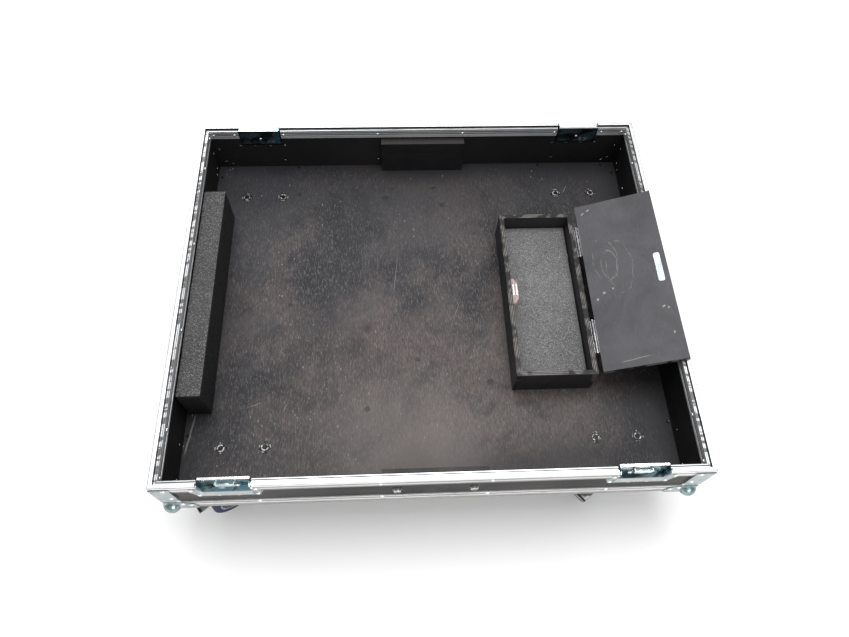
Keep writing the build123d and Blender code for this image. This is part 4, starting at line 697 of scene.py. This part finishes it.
def paint_nodes():
    sides = ("front", "right", "rear", "left")
    corners = ("front_left", "front_right", "rear_right", "rear_left")
    set_material(["floor_panel"], floor_material())
    set_material([f"{side}_panel" for side in sides], panel_material())
    set_material(["front_block", "rear_block"], block_material())
    set_material(["box_left_wall", "box_right_wall"], layered_ply("box_ply_long", 0.0, "X", BOX_FACE))
    set_material(["box_front_wall", "box_rear_wall"], layered_ply("box_ply_short", 0.0, "Y", BOX_FACE))
    set_material(["lid_panel"], lid_material())
    set_material(["catch_body"], catch_wood_material())
    rim_low, rim_high = (0.62, 0.63, 0.64), (0.92, 0.92, 0.92)
    for along, ends, half in (("X", ("front", "rear"), HALF_DEPTH), ("Y", ("left", "right"), HALF_WIDTH)):
        set_material([f"rim_{end}" for end in ends], rim_material(f"rim_{along.lower()}", along, half))
        edges = [f"bottom_edge_{end}" for end in ends]
        set_material(edges, bottom_edge_material(f"bottom_edge_{along.lower()}", along))
    set_material(["corner_posts"], drawn_metal("aluminium_z", rim_low, rim_high, "Z"))
    zinc = zinc_material("zinc_steel", (0.17, 0.22, 0.225), (0.36, 0.42, 0.415), 0.22, (0.13, 0.26, 0.31))
    set_material(["corner_braces", "ball_corners"], zinc)
    dish = dish_material()
    for end in ("front", "rear"):
        set_material([f"latch_dish_{end}_{hand}" for hand in ("left", "right")], dish)
    keeper = zinc_material("keeper_steel", (0.42, 0.47, 0.48), (0.80, 0.84, 0.85), 0.2, (0.30, 0.42, 0.46))
    set_material(["latch_keepers"], keeper)
    set_material(["case_rivets"], rivet_material())
    set_material(["t_nuts"], nut_material())
    set_material(["m8_bolts"], bolt_material())
    bright_low, bright_high, bright_tint = (0.40, 0.43, 0.46), (0.82, 0.84, 0.86), (0.42, 0.47, 0.54)
    bright = zinc_material("bright_steel", bright_low, bright_high, 0.28, bright_tint, 160.0)
    set_material(["catch_poles", "hinge_pins", "lid_screws"], bright)
    set_material(["strike_plate"], strike_material())
    leaf_low, leaf_high, leaf_tint = (0.10, 0.10, 0.105), (0.34, 0.34, 0.35), (0.16, 0.17, 0.19)
    leaf = zinc_material("leaf_steel", leaf_low, leaf_high, 0.3, leaf_tint, 200.0)
    set_material(["box_hinge_leaves", "lid_hinge_leaves", "wood_screws"], leaf)
    castor = zinc_material("castor_steel", (0.22, 0.22, 0.22), (0.46, 0.45, 0.44), 0.3, (0.26, 0.25, 0.22))
    metal = ["castor_plates"] + [f"castor_{kind}_{c}" for kind in ("fork", "axle") for c in corners]
    set_material(metal + ["brake_pedal_front_left", "brake_pedal_front_right"], castor)
    set_material([f"castor_tyre_{c}" for c in corners], tyre_material())
    set_material([f"castor_hub_{c}" for c in corners], hub_material())


# ---- Foam pieces --------------------------------------------------------------------------------------
def foam_piece(name, node, material, margin, swell, seed):
    """A cut foam slab inside its CAD solid: soft corners, uneven faces and small cuts along its edges."""
    low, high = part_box(node)
    low, high = low + Vector((margin,) * 3), high - Vector((margin, margin, margin))
    low.z -= margin
    size = high - low
    bm = bmesh.new()
    bmesh.ops.create_cube(bm, size=1.0)
    for vertex in bm.verts:
        vertex.co = Vector([low[i] + (vertex.co[i] + 0.5) * size[i] for i in range(3)])
    step = 0.008
    for axis in range(3):
        cuts = max(1, int(size[axis] / step))
        edges = [e for e in bm.edges if abs((e.verts[0].co - e.verts[1].co).normalized()[axis]) > 0.9]
        bmesh.ops.subdivide_edges(bm, edges=edges, cuts=cuts, use_grid_fill=True)
    middle = (low + high) / 2
    start = Vector((seed * 3.7, seed * 1.9, seed * 5.3))
    for vertex in bm.verts:
        on_faces = [
            i for i in range(3) if min(abs(vertex.co[i] - low[i]), abs(vertex.co[i] - high[i])) < 1e-5
        ]
        inward = Vector([
            (1 if vertex.co[i] < middle[i] else -1) if i in on_faces else 0 for i in range(3)
        ])
        ripple = noise.noise(vertex.co * 18 + start) * 0.5 + noise.noise(vertex.co * 90 + start) * 0.5
        depth = swell * (0.5 + 0.5 * ripple)
        if len(on_faces) > 1:
            depth += 0.0006 + 0.0007 * abs(noise.noise(vertex.co * 60 + start))
        vertex.co += inward * depth
    mesh = bpy.data.meshes.new(name)
    bm.to_mesh(mesh)
    bm.free()
    for face in mesh.polygons:
        face.use_smooth = True
    piece = bpy.data.objects.new(name, mesh)
    bpy.context.scene.collection.objects.link(piece)
    bevel = piece.modifiers.new("soft_edges", "BEVEL")
    bevel.width = 0.0014
    bevel.segments = 2
    bevel.limit_method = "ANGLE"
    mesh.materials.append(material)
    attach(piece, BASE)
    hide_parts(node)
    return piece


def add_foam():
    block_side, block_top, block_speck = (0.012, 0.012, 0.013), (0.072, 0.071, 0.072), (0.235, 0.233, 0.235)
    block = foam_material("foam_block_grey", block_side, block_top, block_speck)
    foam_piece("foam_block_piece", "foam_block", block, 0.0004, 0.0012, 1)
    liner = foam_material("foam_liner_grey", (0.03, 0.03, 0.032), (0.150, 0.148, 0.150), (0.34, 0.34, 0.34))
    foam_piece("foam_liner_piece", "box_foam", liner, 0.0004, 0.0010, 2)


# ---- Stage ----------------------------------------------------------------------------------------------
def add_ground():
    mesh = bpy.data.meshes.new("studio_floor")
    bm = bmesh.new()
    bmesh.ops.create_grid(bm, x_segments=4, y_segments=4, size=GROUND_SIZE / 2)
    bm.to_mesh(mesh)
    bm.free()
    ground = bpy.data.objects.new("studio_floor", mesh)
    bpy.context.scene.collection.objects.link(ground)
    mesh.materials.append(studio_material())


def add_light(name, place, target, size, power):
    data = bpy.data.lights.new(name, "AREA")
    data.shape = "DISK"
    data.size = size
    data.energy = power
    light = bpy.data.objects.new(name, data)
    light.location = place
    light.rotation_euler = (Vector(target) - Vector(place)).to_track_quat("-Z", "Y").to_euler()
    bpy.context.scene.collection.objects.link(light)


def add_lights():
    bpy.context.scene.view_settings.view_transform = "Standard"
    add_light("sky_panel", (0.3, 0.6, 3.4), (0, 0, 0.2), 2.6, 88.0)
    add_light("rear_panel", (-1.2, 3.0, 2.2), (0, 0, 0.2), 1.8, 40.0)
    add_light("front_panel", (0.6, -3.0, 1.4), (0, 0, 0.15), 1.8, 34.0)
    world = bpy.data.worlds.new("studio")
    bpy.context.scene.world = world
    world.use_nodes = True
    background = world.node_tree.nodes["Background"]
    background.inputs["Color"].default_value = (1.0, 1.0, 1.0, 1.0)
    background.inputs["Strength"].default_value = 0.62


def add_camera():
    data = bpy.data.cameras.new("camera")
    data.lens = CAMERA_LENS
    data.sensor_width = 36.0
    data.clip_start = 0.01
    data.clip_end = 200.0
    camera = bpy.data.objects.new("camera", data)
    back = -CAMERA_VIEW.normalized()
    right = CAMERA_UP.cross(back).normalized()
    up = back.cross(right)
    turn = Matrix((right, up, back)).transposed()
    camera.matrix_world = Matrix.Translation(CAMERA_PLACE) @ turn.to_4x4()
    bpy.context.scene.collection.objects.link(camera)
    bpy.context.scene.camera = camera


paint_nodes()
add_foam()
add_ground()
add_lights()
add_camera()
